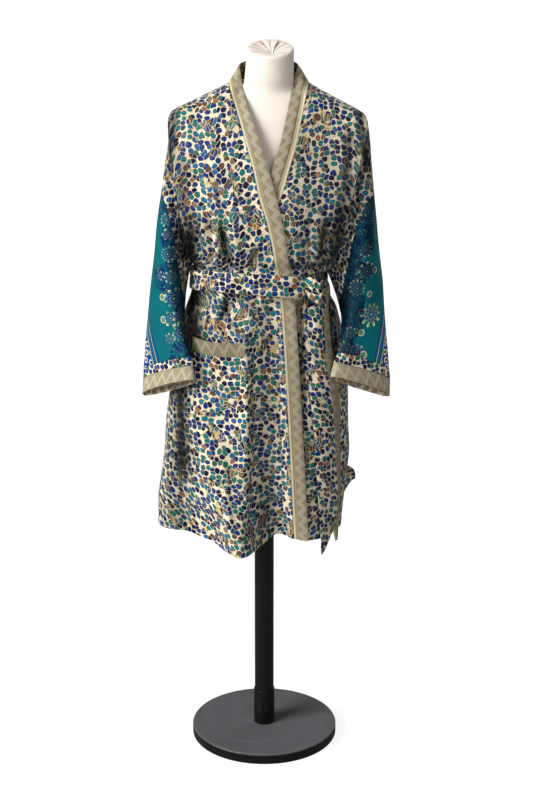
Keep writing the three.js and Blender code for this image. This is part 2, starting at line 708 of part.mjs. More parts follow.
add("belt_tail_print", tail(TAIL_PRINT, 18, 7), "print");
add("belt_tail_trim", tail(TAIL_TRIM, 16, 3.2), "trim");

export default part;
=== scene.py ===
"""Midi kimono on a dress form stand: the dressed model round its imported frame.

Shapes are worked out in millimetres, as rows of points round the body, and turned into metres when
a mesh is made.  X runs to the viewer's right, Y to the back, Z up.
"""

import math

import bpy
import numpy as np
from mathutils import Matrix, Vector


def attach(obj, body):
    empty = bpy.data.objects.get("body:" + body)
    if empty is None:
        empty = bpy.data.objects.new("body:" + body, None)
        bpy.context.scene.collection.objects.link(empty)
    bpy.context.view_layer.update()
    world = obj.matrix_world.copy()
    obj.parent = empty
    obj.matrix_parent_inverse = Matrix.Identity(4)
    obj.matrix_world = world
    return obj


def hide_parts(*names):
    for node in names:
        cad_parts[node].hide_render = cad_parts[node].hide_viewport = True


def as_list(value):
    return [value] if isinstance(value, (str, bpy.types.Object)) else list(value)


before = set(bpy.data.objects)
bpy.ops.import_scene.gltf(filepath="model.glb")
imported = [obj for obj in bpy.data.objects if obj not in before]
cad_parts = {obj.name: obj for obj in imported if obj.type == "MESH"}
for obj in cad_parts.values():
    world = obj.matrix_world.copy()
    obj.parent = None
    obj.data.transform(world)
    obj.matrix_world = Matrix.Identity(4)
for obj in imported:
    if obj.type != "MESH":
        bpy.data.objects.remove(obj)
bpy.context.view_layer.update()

MM = 0.001
TAU = 2 * math.pi

# ---------- sizes, in millimetres ----------
# Left and right are the viewer's here, and the wearer's in the names of pieces and their cloths.
WALL = 1.0  # thickness of the robe's cloth
BAND_WALL = 1.6  # thickness of its border bands and of the belt
SEAM = 0.4  # gap between two pieces sewn together
LAP = 7.0  # how far the upper front stands off the lower one
LAP_FADE = (1440, 1330)  # heights over which that lap closes towards the neck
DRAPE_FADE = (1440, 1380)  # heights over which the cloth's unevenness dies out at the neck
MID_X = 5.0  # the robe's middle, sideways and in depth
MID_Y = 5.0
HEM_Z = 490.0
HEM_TURN = 15.0  # height of the turned hem, and how far it stands proud
HEM_PROUD = 0.7
HEM_RISE_Z = 640.0  # below this height the cloth follows the curve of the hem
WAIST_Z = 1010.0  # where the belt's lower edge holds the folds in
NECK_Z = 1456.0
ARM_LEFT_Z = 1088.0  # the underarm on each side, and for the back's rows
ARM_RIGHT_Z = 1075.0
ARM_BACK_Z = 1082.0
RIDGE_LEFT_Z = 1404.0  # the top of each armhole
RIDGE_RIGHT_Z = 1402.0
NECK_LEFT_X = -72.0  # where the shoulders meet the neck
NECK_RIGHT_X = 92.0
NECK_MID_X = (NECK_LEFT_X + NECK_RIGHT_X) / 2
NECK_HALF = (NECK_RIGHT_X - NECK_LEFT_X) / 2
SIDE_POWER = 0.75  # how squarely the cloth turns from its sides to its front and back
ARM_INSET = 0.13  # angle by which a panel's edge stops short of the sleeve, and its run-in
ARM_INSET_RISE = 40.0
BORDER_WIDE = 39.0  # width of the border print on the neckband and on the belt's end
BORDER_FROM = 2.0  # how far from its plain edge the border starts on a cuff and on the pocket
# Sideways shift of each piece's print, so that no two pieces show the same part of it.
PRINT_AT = {
    "front_right": 500, "front_left": 1200, "back": 1900, "sleeve_right": 2000, "sleeve_left": 2500,
    "pocket": 3000, "belt_waist": 5000, "belt_tail_print": 6200, "belt_knot": 7000,
}
# Heights at which the gathers start, are full, start to fade and end, below the belt and above it.
GATHERS_BELOW = (880, 1010, 1022, 1046)
GATHERS_ABOVE = (1094, 1118, 1120, 1225)

# The body's sides, its front and its back at each height.
BODY = {
    "z": [490, 560, 620, 680, 740, 800, 900, 980, 1030, 1060, 1088, 1140, 1456],
    "left": [-229, -228, -221, -213, -209, -201, -184, -166, -150, -147, -146, -150, -150],
    "right": [166, 172, 177, 182, 179, 178, 170, 154, 130, 126, 126, 130, 130],
}
FRONT = {
    "z": [490, 560, 680, 800, 900, 980, 1020, 1060, 1092, 1118, 1150, 1200, 1245, 1300, 1350, 1400,
          1425, 1445, 1456],
    "out": [101, 106, 112, 118, 119, 113, 106, 104, 105, 116, 119, 117, 109, 97, 83, 67, 52, 31, 0],
}
BACK = {
    "z": [490, 560, 680, 800, 900, 980, 1030, 1060, 1100, 1200, 1300, 1350, 1400, 1430, 1456],
    "out": [112, 112, 110, 106, 102, 93, 84, 82, 92, 98, 97, 92, 83, 73, 57],
}
# The neckband on each front edge: its seam, its free edge, and how far that edge rises.
OVER_EDGE = {
    "z": [490, 743, 1037, 1085, 1150, 1201, 1240, 1302, 1354, 1419, 1456],
    "outer": [63, 51, 32, 25, 15, 4, -9, -23, -38, -58, -72],
    "inner": [95, 81, 62, 54, 45, 35, 25, 6, -12, -39, -50],
    "rise": [0, 0, 0, 0, 1, 3, 6, 9, 13, 21, 37],
}
UNDER_EDGE = {
    "z": [490, 1000, 1085, 1201, 1240, 1302, 1347, 1402, 1441, 1456],
    "outer": [-45, -35, -20, 15, 33, 52, 65, 77, 86, 92],
    "inner": [-83, -73, -58, -21, -2, 20, 35, 49, 62, 69],
    "rise": [0, 0, 0, 5, 8, 10, 13, 18, 30, 37],
}
# How far the neckband stands off the form beside the neck.
STAND_OFF = {"z": [1240, 1302, 1354, 1400, 1430, 1456], "y": [0, 3, 6, 6, 4, 0]}
BAND_LEAVES = (1180, 1330)  # heights over which the neckband's free edge leaves the body
BAND_CLOSES = 1400.0  # from here it draws in to the neck, which is this deep in front
NECK_DEPTH = 42.0
COLLAR_BACK = 54.0  # depth of the collar's upper edge behind the neck, and its extra rise there
COLLAR_CROWN = 4.0

# Large folds: place at the waist end and at the hem, width, depth at both ends, and where each starts.
FOLD_COLUMNS = ("top_x", "hem_x", "wide", "top_out", "hem_out", "start")
SKIRT_FOLDS = [
    (-170, -168, 26, -5, -16, 860),
    (-168, -50, 34, 6, 54, 830),
    (-20, 28, 30, -4, -30, 820),
    (112, 96, 24, 3, 5, 960),
    (148, 140, 16, -3, -9, 960),
]
BACK_FOLDS = [
    (-130, -150, 30, 4, 16, 940),
    (-60, -70, 26, -4, -22, 960),
    (10, 5, 32, 5, 20, 980),
    (70, 72, 24, -4, -18, 960),
    (130, 150, 34, 2, 12, 900),
]
# How far the hem curves up at each x.
HEM_FRONT = {
    "x": [-229, -165, -115, -82, -51, -15, 34, 96, 118, 159, 166],
    "up": [18, 20, 11, -4, -6, -3, 14, 7, 6, 15, 14],
}
HEM_BACK = {"x": [-229, -100, 0, 60, 100, 143, 158, 166], "up": [18, 6, 4, 10, 36, 84, 62, 14]}
# The pointed corner of the back's hem: direction, half width, how far it swings out, and from where.
CORNER_TURN = 2.6
CORNER_HALF = 0.42
CORNER_REACH = 74.0
CORNER_Z = 680.0

# A sleeve at each share t of its length: its outer fold, its underarm fold, how far it bulges from the
# line between them, and how soon its front falls.
SLEEVE_LEFT = {
    "t": [0, 0.1, 0.2, 0.3, 0.42, 0.54, 0.66, 0.78, 0.88, 0.93, 0.96, 1],
    "ox": [-180, -184, -195, -206, -217, -224, -232, -240, -247, -251, -252, -254],
    "oy": [5, 4, 2, 0, -4, -10, -18, -27, -37, -42, -44, -46],
    "oz": [1404, 1355, 1300, 1238, 1176, 1114, 1052, 986, 912, 865, 843, 810],
    "ix": [-146, -157, -161, -164, -165, -165, -163, -158, -151, -147, -145, -141],
    "iy": [5, 4, -2, -14, -30, -50, -70, -90, -108, -118, -121, -124],
    "iz": [1088, 1058, 1034, 1014, 997, 981, 966, 950, 930, 914, 896, 866],
    "bx": [-23, -17, -14, -12, -11, -10, -9, -9, -9, -9, -9, -9],
    "by": [-85, -80, -73, -66, -58, -49, -39, -29, -20, -16, -15, -14],
    "bz": [0, 0, 0, 0, 2, 3, 4, 6, 8, 9, 10, 11],
    "lag": [1.5, 1.9, 2.2, 2.4, 2.4, 2.2, 1.9, 1.6, 1.2, 1, 1, 1],
}
SLEEVE_RIGHT = SLEEVE_LEFT | {
    "ox": [186, 200, 208, 219, 228, 236, 244, 249, 256, 261, 263, 263],
    "oy": [5, 4, 2, 0, -4, -10, -18, -25, -33, -38, -39, -40],
    "oz": [1402, 1352, 1300, 1239, 1176, 1114, 1052, 988, 915, 861, 841, 805],
    "ix": [126, 139, 147, 153, 157, 160, 160, 158, 155, 151, 143, 136],
    "iy": [5, 4, -2, -14, -30, -48, -64, -79, -92, -100, -103, -106],
    "iz": [1075, 1048, 1026, 1008, 992, 977, 962, 947, 932, 918, 897, 868],
    "bx": [40, 30, 24, 17, 13, 10, 9, 8, 8, 8, 8, 8],
    "bz": [0, 0, 0, 0, 2, 3, 4, 6, 8, 9, 9, 9],
}
# Shares of the sleeve's length: its start, the seam of the teal cloth, the strip, the cuff, and half
# the gap at a seam above and below the strip.
SLEEVE_TOP = 0.006
SLEEVE_SEAM = 0.3
STRIP_TOP = 0.93
CUFF_TOP = 0.96
SLEEVE_GAP = 0.001
STRIP_GAP = 0.0006

# The form at each height: its reach to every side, and how square its rings are.
FORM = {
    "z": [800, 806, 850, 920, 1000, 1060, 1110, 1180, 1250, 1310, 1360, 1392, 1412, 1430, 1446, 1458,
          1470, 1505],
    "left": [-112, -128, -140, -134, -112, -104, -112, -126, -136, -142, -150, -152, -130, -90, -52,
             -41, -39, -36],
    "right": [104, 120, 132, 126, 104, 96, 106, 124, 138, 148, 156, 160, 142, 106, 68, 60, 60, 60],
    "front": [78, 90, 98, 96, 84, 80, 88, 96, 88, 74, 64, 57, 50, 44, 41, 42, 44, 45],
    "back": [74, 86, 92, 84, 68, 64, 72, 80, 80, 74, 66, 60, 54, 50, 48, 48, 47, 46],
    "power": [2.3, 2.3, 2.3, 2.3, 2.2, 2.2, 2.2, 2.2, 2.1, 2, 1.85, 1.75, 1.75, 1.8, 1.85, 1.9, 2, 2],
}
BELT_LEVEL = 1055.0  # above this height the belt keeps the body's width
BELT_OFF_SIDE = 5.5  # how far the belt stands off the body at its sides, back and front
BELT_OFF_BACK = 8.0
BELT_OFF_FRONT = 7.5
KNOT_TURN = 2.42  # direction of the knot, and its half width, half depth and half height
KNOT_WIDE = 18.0
KNOT_DEEP = 13.5
KNOT_HIGH = 29.0
# The belt's edges in front, by direction.
BELT = {
    "angle": [0, 0.45, 0.9, 1.3, 1.65, 2.0, 2.4, 2.75, math.pi],
    "top": [1072, 1083, 1089, 1089, 1087, 1082, 1074, 1063, 1058],
    "low": [1032, 1041, 1047, 1046, 1042, 1036, 1030, 1022, 1018],
}
# The belt's hanging ends: their sides at each height.
TAIL_PRINT = {
    "z": [457, 487, 510, 560, 660, 780, 880, 950, 1000, 1024],
    "left": [118, 117, 116, 114, 107, 99, 89, 86, 88, 94],
    "right": [122, 139, 151, 152, 149, 141, 128, 122, 119, 114],
}
TAIL_TRIM = {
    "z": [467, 505, 560, 670, 780, 860, 940, 1000, 1046],
    "left": [151, 143, 126, 122, 118, 112, 106, 106, 108],
    "right": [156, 158, 159, 160, 157, 147, 137, 130, 123],
}
# The pocket's sides, mouth and bottom, the top of its print, and where its border starts above that.
POCKET = {"left": -146, "right": -38, "top": 946, "band_low": 916.5, "band": 916, "bottom": 792}
POCKET_SLACK = 5.0  # how far the pocket's mouth stands off, and how far it sags
POCKET_SAG = 4.0

# The stand: radii and heights.
DISC_RADIUS = 160.0
DISC_TOP = 24.0
DISC_EDGE = 3.5
SOCKET_RADIUS = 23.0
SOCKET_TOP = 106.0
POLE_RADIUS = 21.0
POLE_TOP = 800.0

# Creases of the fronts: from x, z to x, z, half width, and how far out (a groove is negative).
BODICE_CREASES = [
    (-122, 1213, -117, 1128, 7.5, 7), (-106, 1205, -100, 1112, 6.4, -6),
    (-86, 1187, -68, 1098, 6.4, -8.5), (-100, 1170, -92, 1104, 6, 4.5), (-16, 1148, -22, 1098, 6.4, -7),
    (-52, 1151, -49, 1097, 9.5, 4.5), (-30, 1250, -24, 1180, 7, -3.5), (-62, 1260, -56, 1170, 9, 3),
    (-140, 1330, -80, 1210, 12, 3), (-150, 1300, -100, 1190, 10, -3.5),
    (-128, 1370, -40, 1230, 14, 2.5), (-152, 1404, -149, 1264, 12.9, 3),
    (-136, 1190, -131, 1116, 6.4, -4), (137, 1344, 134, 1213, 12.9, -3),
    (132, 1198, 117, 1112, 8.6, -6), (118, 1186, 105, 1116, 8.6, 4), (160, 1344, 171, 1172, 10.8, 4),
    (149, 1324, 159, 1161, 8.6, -3), (72, 1264, 79, 1107, 8.6, -2), (54, 1304, 66, 1116, 8.6, 2),
    (94, 1213, 91, 1103, 6.4, -3),
]
SKIRT_CREASES = [
    (-35, 983, -36, 668, 9.7, 5), (-14, 930, -21, 646, 8.6, -5), (-4, 735, -38, 522, 8.6, -6),
    (-124, 842, -79, 816, 5.4, -4), (-79, 816, -31, 866, 5.4, -4), (-103, 857, -50, 853, 8.6, 3),
    (-154, 761, -79, 733, 6.4, -3), (-118, 1036, -125, 960, 4.3, -3), (-93, 1034, -98, 971, 4.3, 2),
    (-55, 1042, -92, 985, 5.5, -6.5), (-78, 1038, -108, 1004, 6.4, 4), (-76, 1044, -80, 990, 4.6, -5),
    (-37, 1040, -5, 985, 9, -6.5), (-52, 1008, -80, 976, 6.4, 3.5), (-74, 988, -37, 958, 6, -4.5),
    (-12, 1040, 12, 990, 8, 4), (-75, 690, -57, 506, 6.4, -2.5), (-104, 721, -78, 508, 6.4, -2.5),
    (-90, 713, -66, 501, 6.4, 2.5), (-138, 1036, -145, 941, 4.3, -3), (-43, 1036, -39, 973, 4.3, -3),
]
UNDER_CREASES = [
    (65, 1032, 74, 811, 3.7, -7), (78, 1036, 87, 757, 3.9, -6), (71, 1034, 80, 801, 3.4, 4),
    (91, 1036, 101, 822, 4.3, -4), (85, 1032, 95, 801, 3.9, 3), (132, 1036, 146, 646, 5.4, -4),
    (142, 1036, 153, 779, 5.4, 3),
]
BACK_CREASES = [
    (-92, 1180, -88, 1092, 7, -5), (-60, 1210, -56, 1090, 8, 5), (-34, 1165, -36, 1090, 6, -5),
    (-6, 1200, -8, 1088, 8, 4), (24, 1150, 22, 1088, 6, -5), (52, 1215, 50, 1088, 8, 5),
    (84, 1170, 80, 1090, 7, -5), (-98, 1022, -118, 820, 7, -5), (-72, 1024, -84, 880, 6, 4),
    (-48, 1022, -52, 760, 8, -6), (-18, 1024, -14, 900, 6, 4), (14, 1022, 22, 740, 8, -5),
    (46, 1024, 56, 880, 6, 4), (76, 1022, 96, 800, 8, -6), (-120, 1340, -60, 1230, 12, 3),
    (110, 1330, 58, 1215, 12, 3), (-40, 1400, 40, 1392, 9, -2), (-100, 700, -110, 520, 9, 4),
    (40, 690, 36, 520, 9, -4), (110, 720, 120, 560, 8, 4),
]
# The long fold beside the front edge: from x, z to x, z, half width to its left and right, how far out.
LONG_FOLD = [(-37, 1000, -38, 490, 20, 9, 5), (9, 1000, 12, 490, 30, 28, -15)]
# Painted shade, darkening the cloth's colour in deep folds, under the arms and on parts turned from the
# light: from x, z to x, z, half width left and right, how much.
PAINTED_SHADE_BODY = [
    (-144, 1217, -156, 1098, 19, 19, 0.75), (-152, 1180, -143, 1014, 30, 22, 0.95),
    (-154, 1040, -137, 931, 23, 22, 0.9), (-142, 950, -120, 850, 22, 20, 0.88),
    (-164, 1330, -162, 1190, 12, 12, 0.55), (-96, 1272, -84, 1176, 6, 6, 0.35),
    (-88, 1190, -68, 1104, 9, 10, 0.88), (-32, 1250, -24, 1184, 6.3, 6.3, 0.4),
    (-10, 1150, -22, 1105, 9, 9, 0.65), (-56, 1209, -49, 1114, 5, 5, 0.45),
    (53, 1101, 125, 1101, 10, 8, 0.65), (121, 1204, 110, 1106, 12, 16, 0.65),
    (84, 1208, 79, 1111, 5, 5, 0.4), (119, 1068, 139, 920, 17, 20, 0.88),
    (139, 942, 155, 844, 13, 16, 0.65), (73, 1034, 81, 643, 6, 6, 0.6), (93, 1042, 98, 949, 5, 5, 0.45),
    (-174, 890, -171, 640, 20, 17, 0.93), (-180, 700, -184, 500, 28, 28, 0.5),
    (-76, 1040, -80, 984, 6, 6, 0.45), (-55, 1042, -92, 985, 6, 6, 0.5),
    (-37, 1038, -5, 985, 12, 14, 0.5), (-74, 988, -37, 958, 6, 6, 0.5),
    (-97, 867, -64, 833, 6, 6, 0.45), (-132, 884, -104, 852, 15, 15, 0.75),
    (-114, 850, -98, 780, 20, 20, 0.36), (-142, 950, -128, 860, 14, 15, 0.9),
    (-4, 1000, -2, 500, 18, 38, 0.56), (90, 1410, 88, 1120, 45, 60, 0.4),
    (110, 1040, 120, 500, 40, 60, 0.24), (172, 1375, 158, 1201, 17, 12, 0.82),
    (157, 1220, 136, 1094, 16, 18, 0.85), (190, 1414, 204, 1290, 10, 14, 0.88),
    (-178, 1412, -190, 1290, 7, 7, 0.7), (-98, 1040, -98, 930, 55, 60, 0.2),
]
# Painted shade on the sleeves' printed upper cloths.
PAINTED_SHADE_SLEEVE = [
    (172, 1375, 158, 1201, 17, 12, 0.86), (157, 1220, 137, 1094, 17, 18, 0.88),
    (192, 1410, 206, 1290, 10, 14, 0.9), (196, 1300, 202, 1190, 9, 12, 0.5),
    (193, 1330, 189, 1190, 3.5, 4, 0.6), (110, 1410, 110, 1120, 60, 60, 0.36),
    (-178, 1412, -190, 1290, 7, 7, 0.7), (-190, 1300, -194, 1250, 6, 6, 0.5),
    (-172, 1255, -168, 1147, 9, 11, 0.8), (-166, 1180, -162, 1098, 15, 18, 0.9),
]
# Painted shade on the sleeves' teal cloths.
PAINTED_SHADE_TEAL = [
    (-167, 1200, -150, 900, 16, 22, 0.8), (168, 1190, 160, 880, 30, 34, 0.62),
    (204, 1260, 214, 1000, 30, 26, 0.34),
]


# ---------- small helpers ----------
def mix(a, b, t):
    return a + (b - a) * t


def ease(low, high, value):
    """0 at low, 1 at high, smooth between; low may be the larger of the two."""
    t = np.clip((value - low) / (high - low), 0, 1)
    return t * t * (3 - 2 * t)


def between(stops, height):
    """Grows to 1 between the first two heights and falls back to 0 between the last two."""
    start, full, fade, end = stops
    return ease(start, full, height) * ease(end, fade, height)


def shares(count):
    return np.linspace(0, 1, count + 1)


def across(angle):
    """0 at the body's sides, 1 at its middle."""
    return np.maximum(0, np.sin(angle))


def hump(value):
    """A smooth bump: 1 at 0 and next to nothing beyond 2."""
    return np.exp(-value * value)


def slopes(xs, ys):
    """The slope at each row of a table, flat wherever the steps change sign."""
    steps = np.diff(ys) / np.diff(xs)
    inside = np.zeros(len(xs) - 2)
    same = steps[:-1] * steps[1:] > 0
    inside[same] = 2 * steps[:-1][same] * steps[1:][same] / (steps[:-1] + steps[1:])[same]
    return np.concatenate([steps[:1], inside, steps[-1:]])


def read(table, key, column, at):
    """A smooth reading of one column of a table."""
    xs, ys = np.array(table[key], float), np.array(table[column], float)
    m = slopes(xs, ys)
    v = np.clip(at, xs[0], xs[-1])
    i = np.clip(np.searchsorted(xs, v, side="left") - 1, 0, len(xs) - 2)
    h = xs[i + 1] - xs[i]
    t = (v - xs[i]) / h
    a = 2 * t**3 - 3 * t**2 + 1
    b = t**3 - 2 * t**2 + t
    c = t**3 - t**2
    return a * ys[i] + b * h * m[i] + (1 - a) * ys[i + 1] + c * h * m[i + 1]


def stack(*parts):
    return np.stack(np.broadcast_arrays(*parts), -1)


def unit(v):
    return v / np.maximum(np.linalg.norm(v, axis=-1, keepdims=True), 1e-9)


def lattice(ix, iy, iz):
    """One fixed scattered value from -1 to 1 for each whole-numbered place."""
    h = (ix * 374761393 + iy * 668265263 + iz * 1442695041) & 0xFFFFFFFF
    h = ((h ^ (h >> 13)) * 1274126177) & 0xFFFFFFFF
    return ((h ^ (h >> 16)) & 0xFFFF) / 32767.5 - 1


def soft_noise(points, size):
    """Smooth noise from -1 to 1; size gives the spacing of its waves in mm along x, y and z."""
    p = points / np.array(size, float)
    base = np.floor(p).astype(np.int64)
    f = p - base
    f = f * f * (3 - 2 * f)
    total = np.zeros(points.shape[:-1])
    for corner in range(8):
        step = [(corner >> k) & 1 for k in range(3)]
        share = np.ones(points.shape[:-1])
        for k in range(3):
            share = share * (f[..., k] if step[k] else 1 - f[..., k])
        total += share * lattice(*(base[..., k] + step[k] for k in range(3)))
    return total


# ---------- sleeve and body surfaces ----------
def sleeve_point(rings, t, turn):
    """A sleeve's surface at a share t of its length; turn is 0 at its outer fold and pi under the arm."""
    def get(column):
        return read(rings, "t", column, t)

    front = np.sin(turn) >= 0
    wide = np.abs(np.sin(turn)) ** 0.82 * np.where(front, 1, -1)
    part = np.arccos(np.clip(np.cos(turn), -1, 1)) / math.pi
    drop = np.cos(math.pi * part ** np.where(front, get("lag"), 1))
    skew = np.where(front, 1, 0.4)
    x = (get("ox") + get("ix")) / 2 + (get("ox") - get("ix")) / 2 * np.cos(turn) + get("bx") * wide * skew
    y = (get("oy") + get("iy")) / 2 + (get("oy") - get("iy")) / 2 * np.cos(turn) + get("by") * wide
    z = (get("oz") + get("iz")) / 2 + (get("oz") - get("iz")) / 2 * drop + get("bz") * wide
    return stack(x, y, z)


def one_side(left, height, behind):
    """x, depth and height of the body's side: the seam below the underarm, the armhole above it."""
    rings = SLEEVE_LEFT if left else SLEEVE_RIGHT
    under = ARM_LEFT_Z if left else ARM_RIGHT_Z
    ridge = RIDGE_LEFT_Z if left else RIDGE_RIGHT_Z
    low_x = read(BODY, "z", "left" if left else "right", height)
    share = np.clip((height - under) / (NECK_Z - under), 0, 1)
    lag = 1 if behind else rings["lag"][0]
    part = (np.arccos(np.clip(2 * share - 1, -1, 1)) / math.pi) ** (1 / lag)
    p = sleeve_point(rings, np.zeros_like(share), math.pi * part * (-1 if behind else 1))
    above = height > under
    return (
        np.where(above, p[..., 0], low_x),
        np.where(above, np.abs(p[..., 1] - MID_Y), 0),
        np.where(above, mix(under, ridge, share), height),
    )


def side_point(left, height, behind):
    """one_side of the side that each angle is on."""
    on_left = one_side(True, height, behind)
    on_right = one_side(False, height, behind)
    return [np.where(left, a, b) for a, b in zip(on_left, on_right)]


def angle_at(x, height):
    """The direction in which the front reaches sideways to x."""
    left = x < MID_X
    reach = np.abs(side_point(left, height, False)[0] - MID_X)
    c = np.arccos(np.clip(np.abs(x - MID_X) / reach, 0, 1))
    return np.where(left, c, math.pi - c)


def fold_out(folds, x, height):
    """How far the large folds stand out."""
    out = 0
    for row in folds:
        f = dict(zip(FOLD_COLUMNS, row))
        t = ease(f["start"], HEM_Z, height) * ease(WAIST_Z, WAIST_Z - 50, height)
        down = np.clip((f["start"] - height) / (f["start"] - HEM_Z), 0, 1)
        place = mix(f["top_x"], f["hem_x"], down)
        size = mix(f["top_out"], f["hem_out"], down)
        on = np.where(height > f["start"], ease(WAIST_Z - 10, f["start"], height), 1)
        out = out + size * on * np.maximum(t, 0.5 * on) * hump((x - place) / f["wide"])
    return out


def gathers_out(angle, height, behind):
    """Small uneven gathers that run into the belt from above and below."""
    s = angle * (1 + 0.06 * np.sin(2.3 * angle))
    shift = 1.7 if behind else 0
    wave = 0.5 * np.cos(14 * s + shift) + 0.3 * np.cos(25 * s + 1.3 + shift) + 0.2 * np.cos(43 * s + 0.4)
    size = 3.4 * between(GATHERS_BELOW, height) + 2.6 * between(GATHERS_ABOVE, height)
    return size * across(angle) ** 1.2 * (wave - 0.35)


def lap_out(angle, height):
    return LAP * ease(0.2, 0.9, angle) * ease(*LAP_FADE, height)


def body_point(angle, height, behind=False, over=False):
    """The robe's surface; angle is 0 at the viewer's left side and pi at the right, front or back."""
    edge_x, depth, edge_z = side_point(angle < math.pi / 2, height, behind)
    x = MID_X + (edge_x - MID_X) * np.abs(np.cos(angle))
    neck_x = np.where(angle < math.pi / 2, NECK_LEFT_X, NECK_RIGHT_X)
    along = np.clip((edge_x - x) / (edge_x - neck_x), 0, 1)
    full = read(BACK if behind else FRONT, "z", "out", height)
    share = across(angle) ** SIDE_POWER
    if behind:
        neck_share = np.sqrt(np.maximum(0, 1 - ((x - NECK_MID_X) / NECK_HALF) ** 2))
        share = mix(share, neck_share, ease(1370, NECK_Z, height) ** 2)
    out = mix(depth, full, share)
    fold_share = ease(WAIST_Z, WAIST_Z - 70, height) * across(angle) ** 0.5
    out = out + fold_out(BACK_FOLDS if behind else SKIRT_FOLDS, x, height) * fold_share
    out = out + gathers_out(angle, height, behind)
    if over:
        out = out + lap_out(angle, height)
    hem = read(HEM_BACK if behind else HEM_FRONT, "x", "up", x) * ease(HEM_RISE_Z, HEM_Z, height)
    point = np.maximum(0, 1 - np.abs(angle - CORNER_TURN) / CORNER_HALF) ** 1.3
    corner = point * across(angle) ** 0.4 if behind else 0
    flare = CORNER_REACH * corner * ease(CORNER_Z, HEM_Z, height) ** 1.4
    z = edge_z + (height - edge_z) * along + hem
    return stack(x + flare, MID_Y + np.where(behind, out, -out), z)


def beside_line(line, points):
    """How far along a line each point is, from 0 to 1, and how far to its side, both across the front."""
    x0, z0, x1, z1 = line
    dx, dz = x1 - x0, z1 - z0
    x, z = points[..., 0] - x0, points[..., 2] - z0
    return (x * dx + z * dz) / (dx * dx + dz * dz), (x * dz - z * dx) / math.hypot(dx, dz)


def crease_out(creases, points):
    """Long soft creases, each along a straight line across the front."""
    out = np.zeros(points.shape[:-1])
    for *line, wide, deep in creases:
        t, off = beside_line(line, points)
        bow = 0.15 * wide * np.sin(7 * t + wide)
        taper = ease(-0.06, 0.16, t) * ease(1.1, 0.8, t)
        out += deep * taper * hump((off + bow) / wide)
    return out


def strokes(rows, points):
    """How near each point is to each soft stroke across the front, from 0 to 1, and the stroke's size."""
    for *line, left, right, size in rows:
        t, off = beside_line(line, points)
        taper = ease(-0.12, 0.12, t) * ease(1.12, 0.88, t)
        yield taper * hump(off / np.where(off > 0, left, right)), size


def long_fold_out(points):
    return sum(near * size for near, size in strokes(LONG_FOLD, points))


def painted_fold_shade(rows, points):
    """Painted shade: how much the cloth's colour is darkened for lying deep in a fold or under the arm,
    from 0 to 1.
    """
    light = np.ones(points.shape[:-1])
    for near, size in strokes(rows, points):
        light = light * (1 - size * near)
    return {"deep": 1 - light}


# ---------- meshes ----------
def grid_normals(points, shut, sign):
    if shut:
        du = np.roll(points, -1, 0) - np.roll(points, 1, 0)
    else:
        du = np.gradient(points, axis=0)
    return unit(np.cross(du, np.gradient(points, axis=1))) * sign


def arc(points, axis):
    """Length along a grid's rows or columns, in mm."""
    step = np.linalg.norm(np.diff(points, axis=axis), axis=-1)
    start = np.zeros_like(np.take(step, [0], axis=axis))
    return np.concatenate([start, np.cumsum(step, axis=axis)], axis=axis)


def cloth_flat(points, at, sign=1):
    """Print coordinates of a hanging panel: sideways from the column numbered at, and upwards."""
    step = np.hypot(*np.moveaxis(np.diff(points[..., :2], axis=0), -1, 0))
    beside = np.concatenate([np.zeros_like(step[:1]), np.cumsum(step, axis=0)])
    rise = np.diff(points[..., 2], axis=1)
    rise = np.sign(rise) * np.hypot(rise, np.diff(points[..., 1], axis=1))
    up = np.concatenate([points[:, :1, 2], points[:, :1, 2] + np.cumsum(rise, axis=1)], axis=1)
    return stack(points[at, :, 0] + sign * (beside - beside[at]), up)


def face_inward(quads):
    """Whether quads, given by their corners, turn their faces to the inside."""
    sides = np.cross(quads[:, 1], quads[:, 2]) + np.cross(quads[:, 2], quads[:, 3])
    return np.einsum("ij,ij->", quads[:, 0], sides) < 0


def make_object(name, verts, faces, uvs, materials, slots, places, sharp=55):
    """A mesh with print coordinates, a material for each face, and values kept at its points."""
    mesh = bpy.data.meshes.new(name)
    mesh.from_pydata(verts.tolist(), [], faces)
    layer = mesh.uv_layers.new(name="cloth")
    layer.data.foreach_set("uv", np.asarray(uvs, np.float32).ravel())
    for material in materials:
        mesh.materials.append(material)
    mesh.polygons.foreach_set("material_index", np.asarray(slots, np.int32))
    mesh.polygons.foreach_set("use_smooth", np.ones(len(faces), bool))
    for key, values in places.items():
        field = mesh.attributes.new(key, "FLOAT", "POINT")
        field.data.foreach_set("value", np.asarray(values, np.float32).ravel())
    mesh.set_sharp_from_angle(angle=math.radians(sharp))
    mesh.update()
    made = bpy.data.objects.new(name, mesh)
    bpy.context.scene.collection.objects.link(made)
    return made


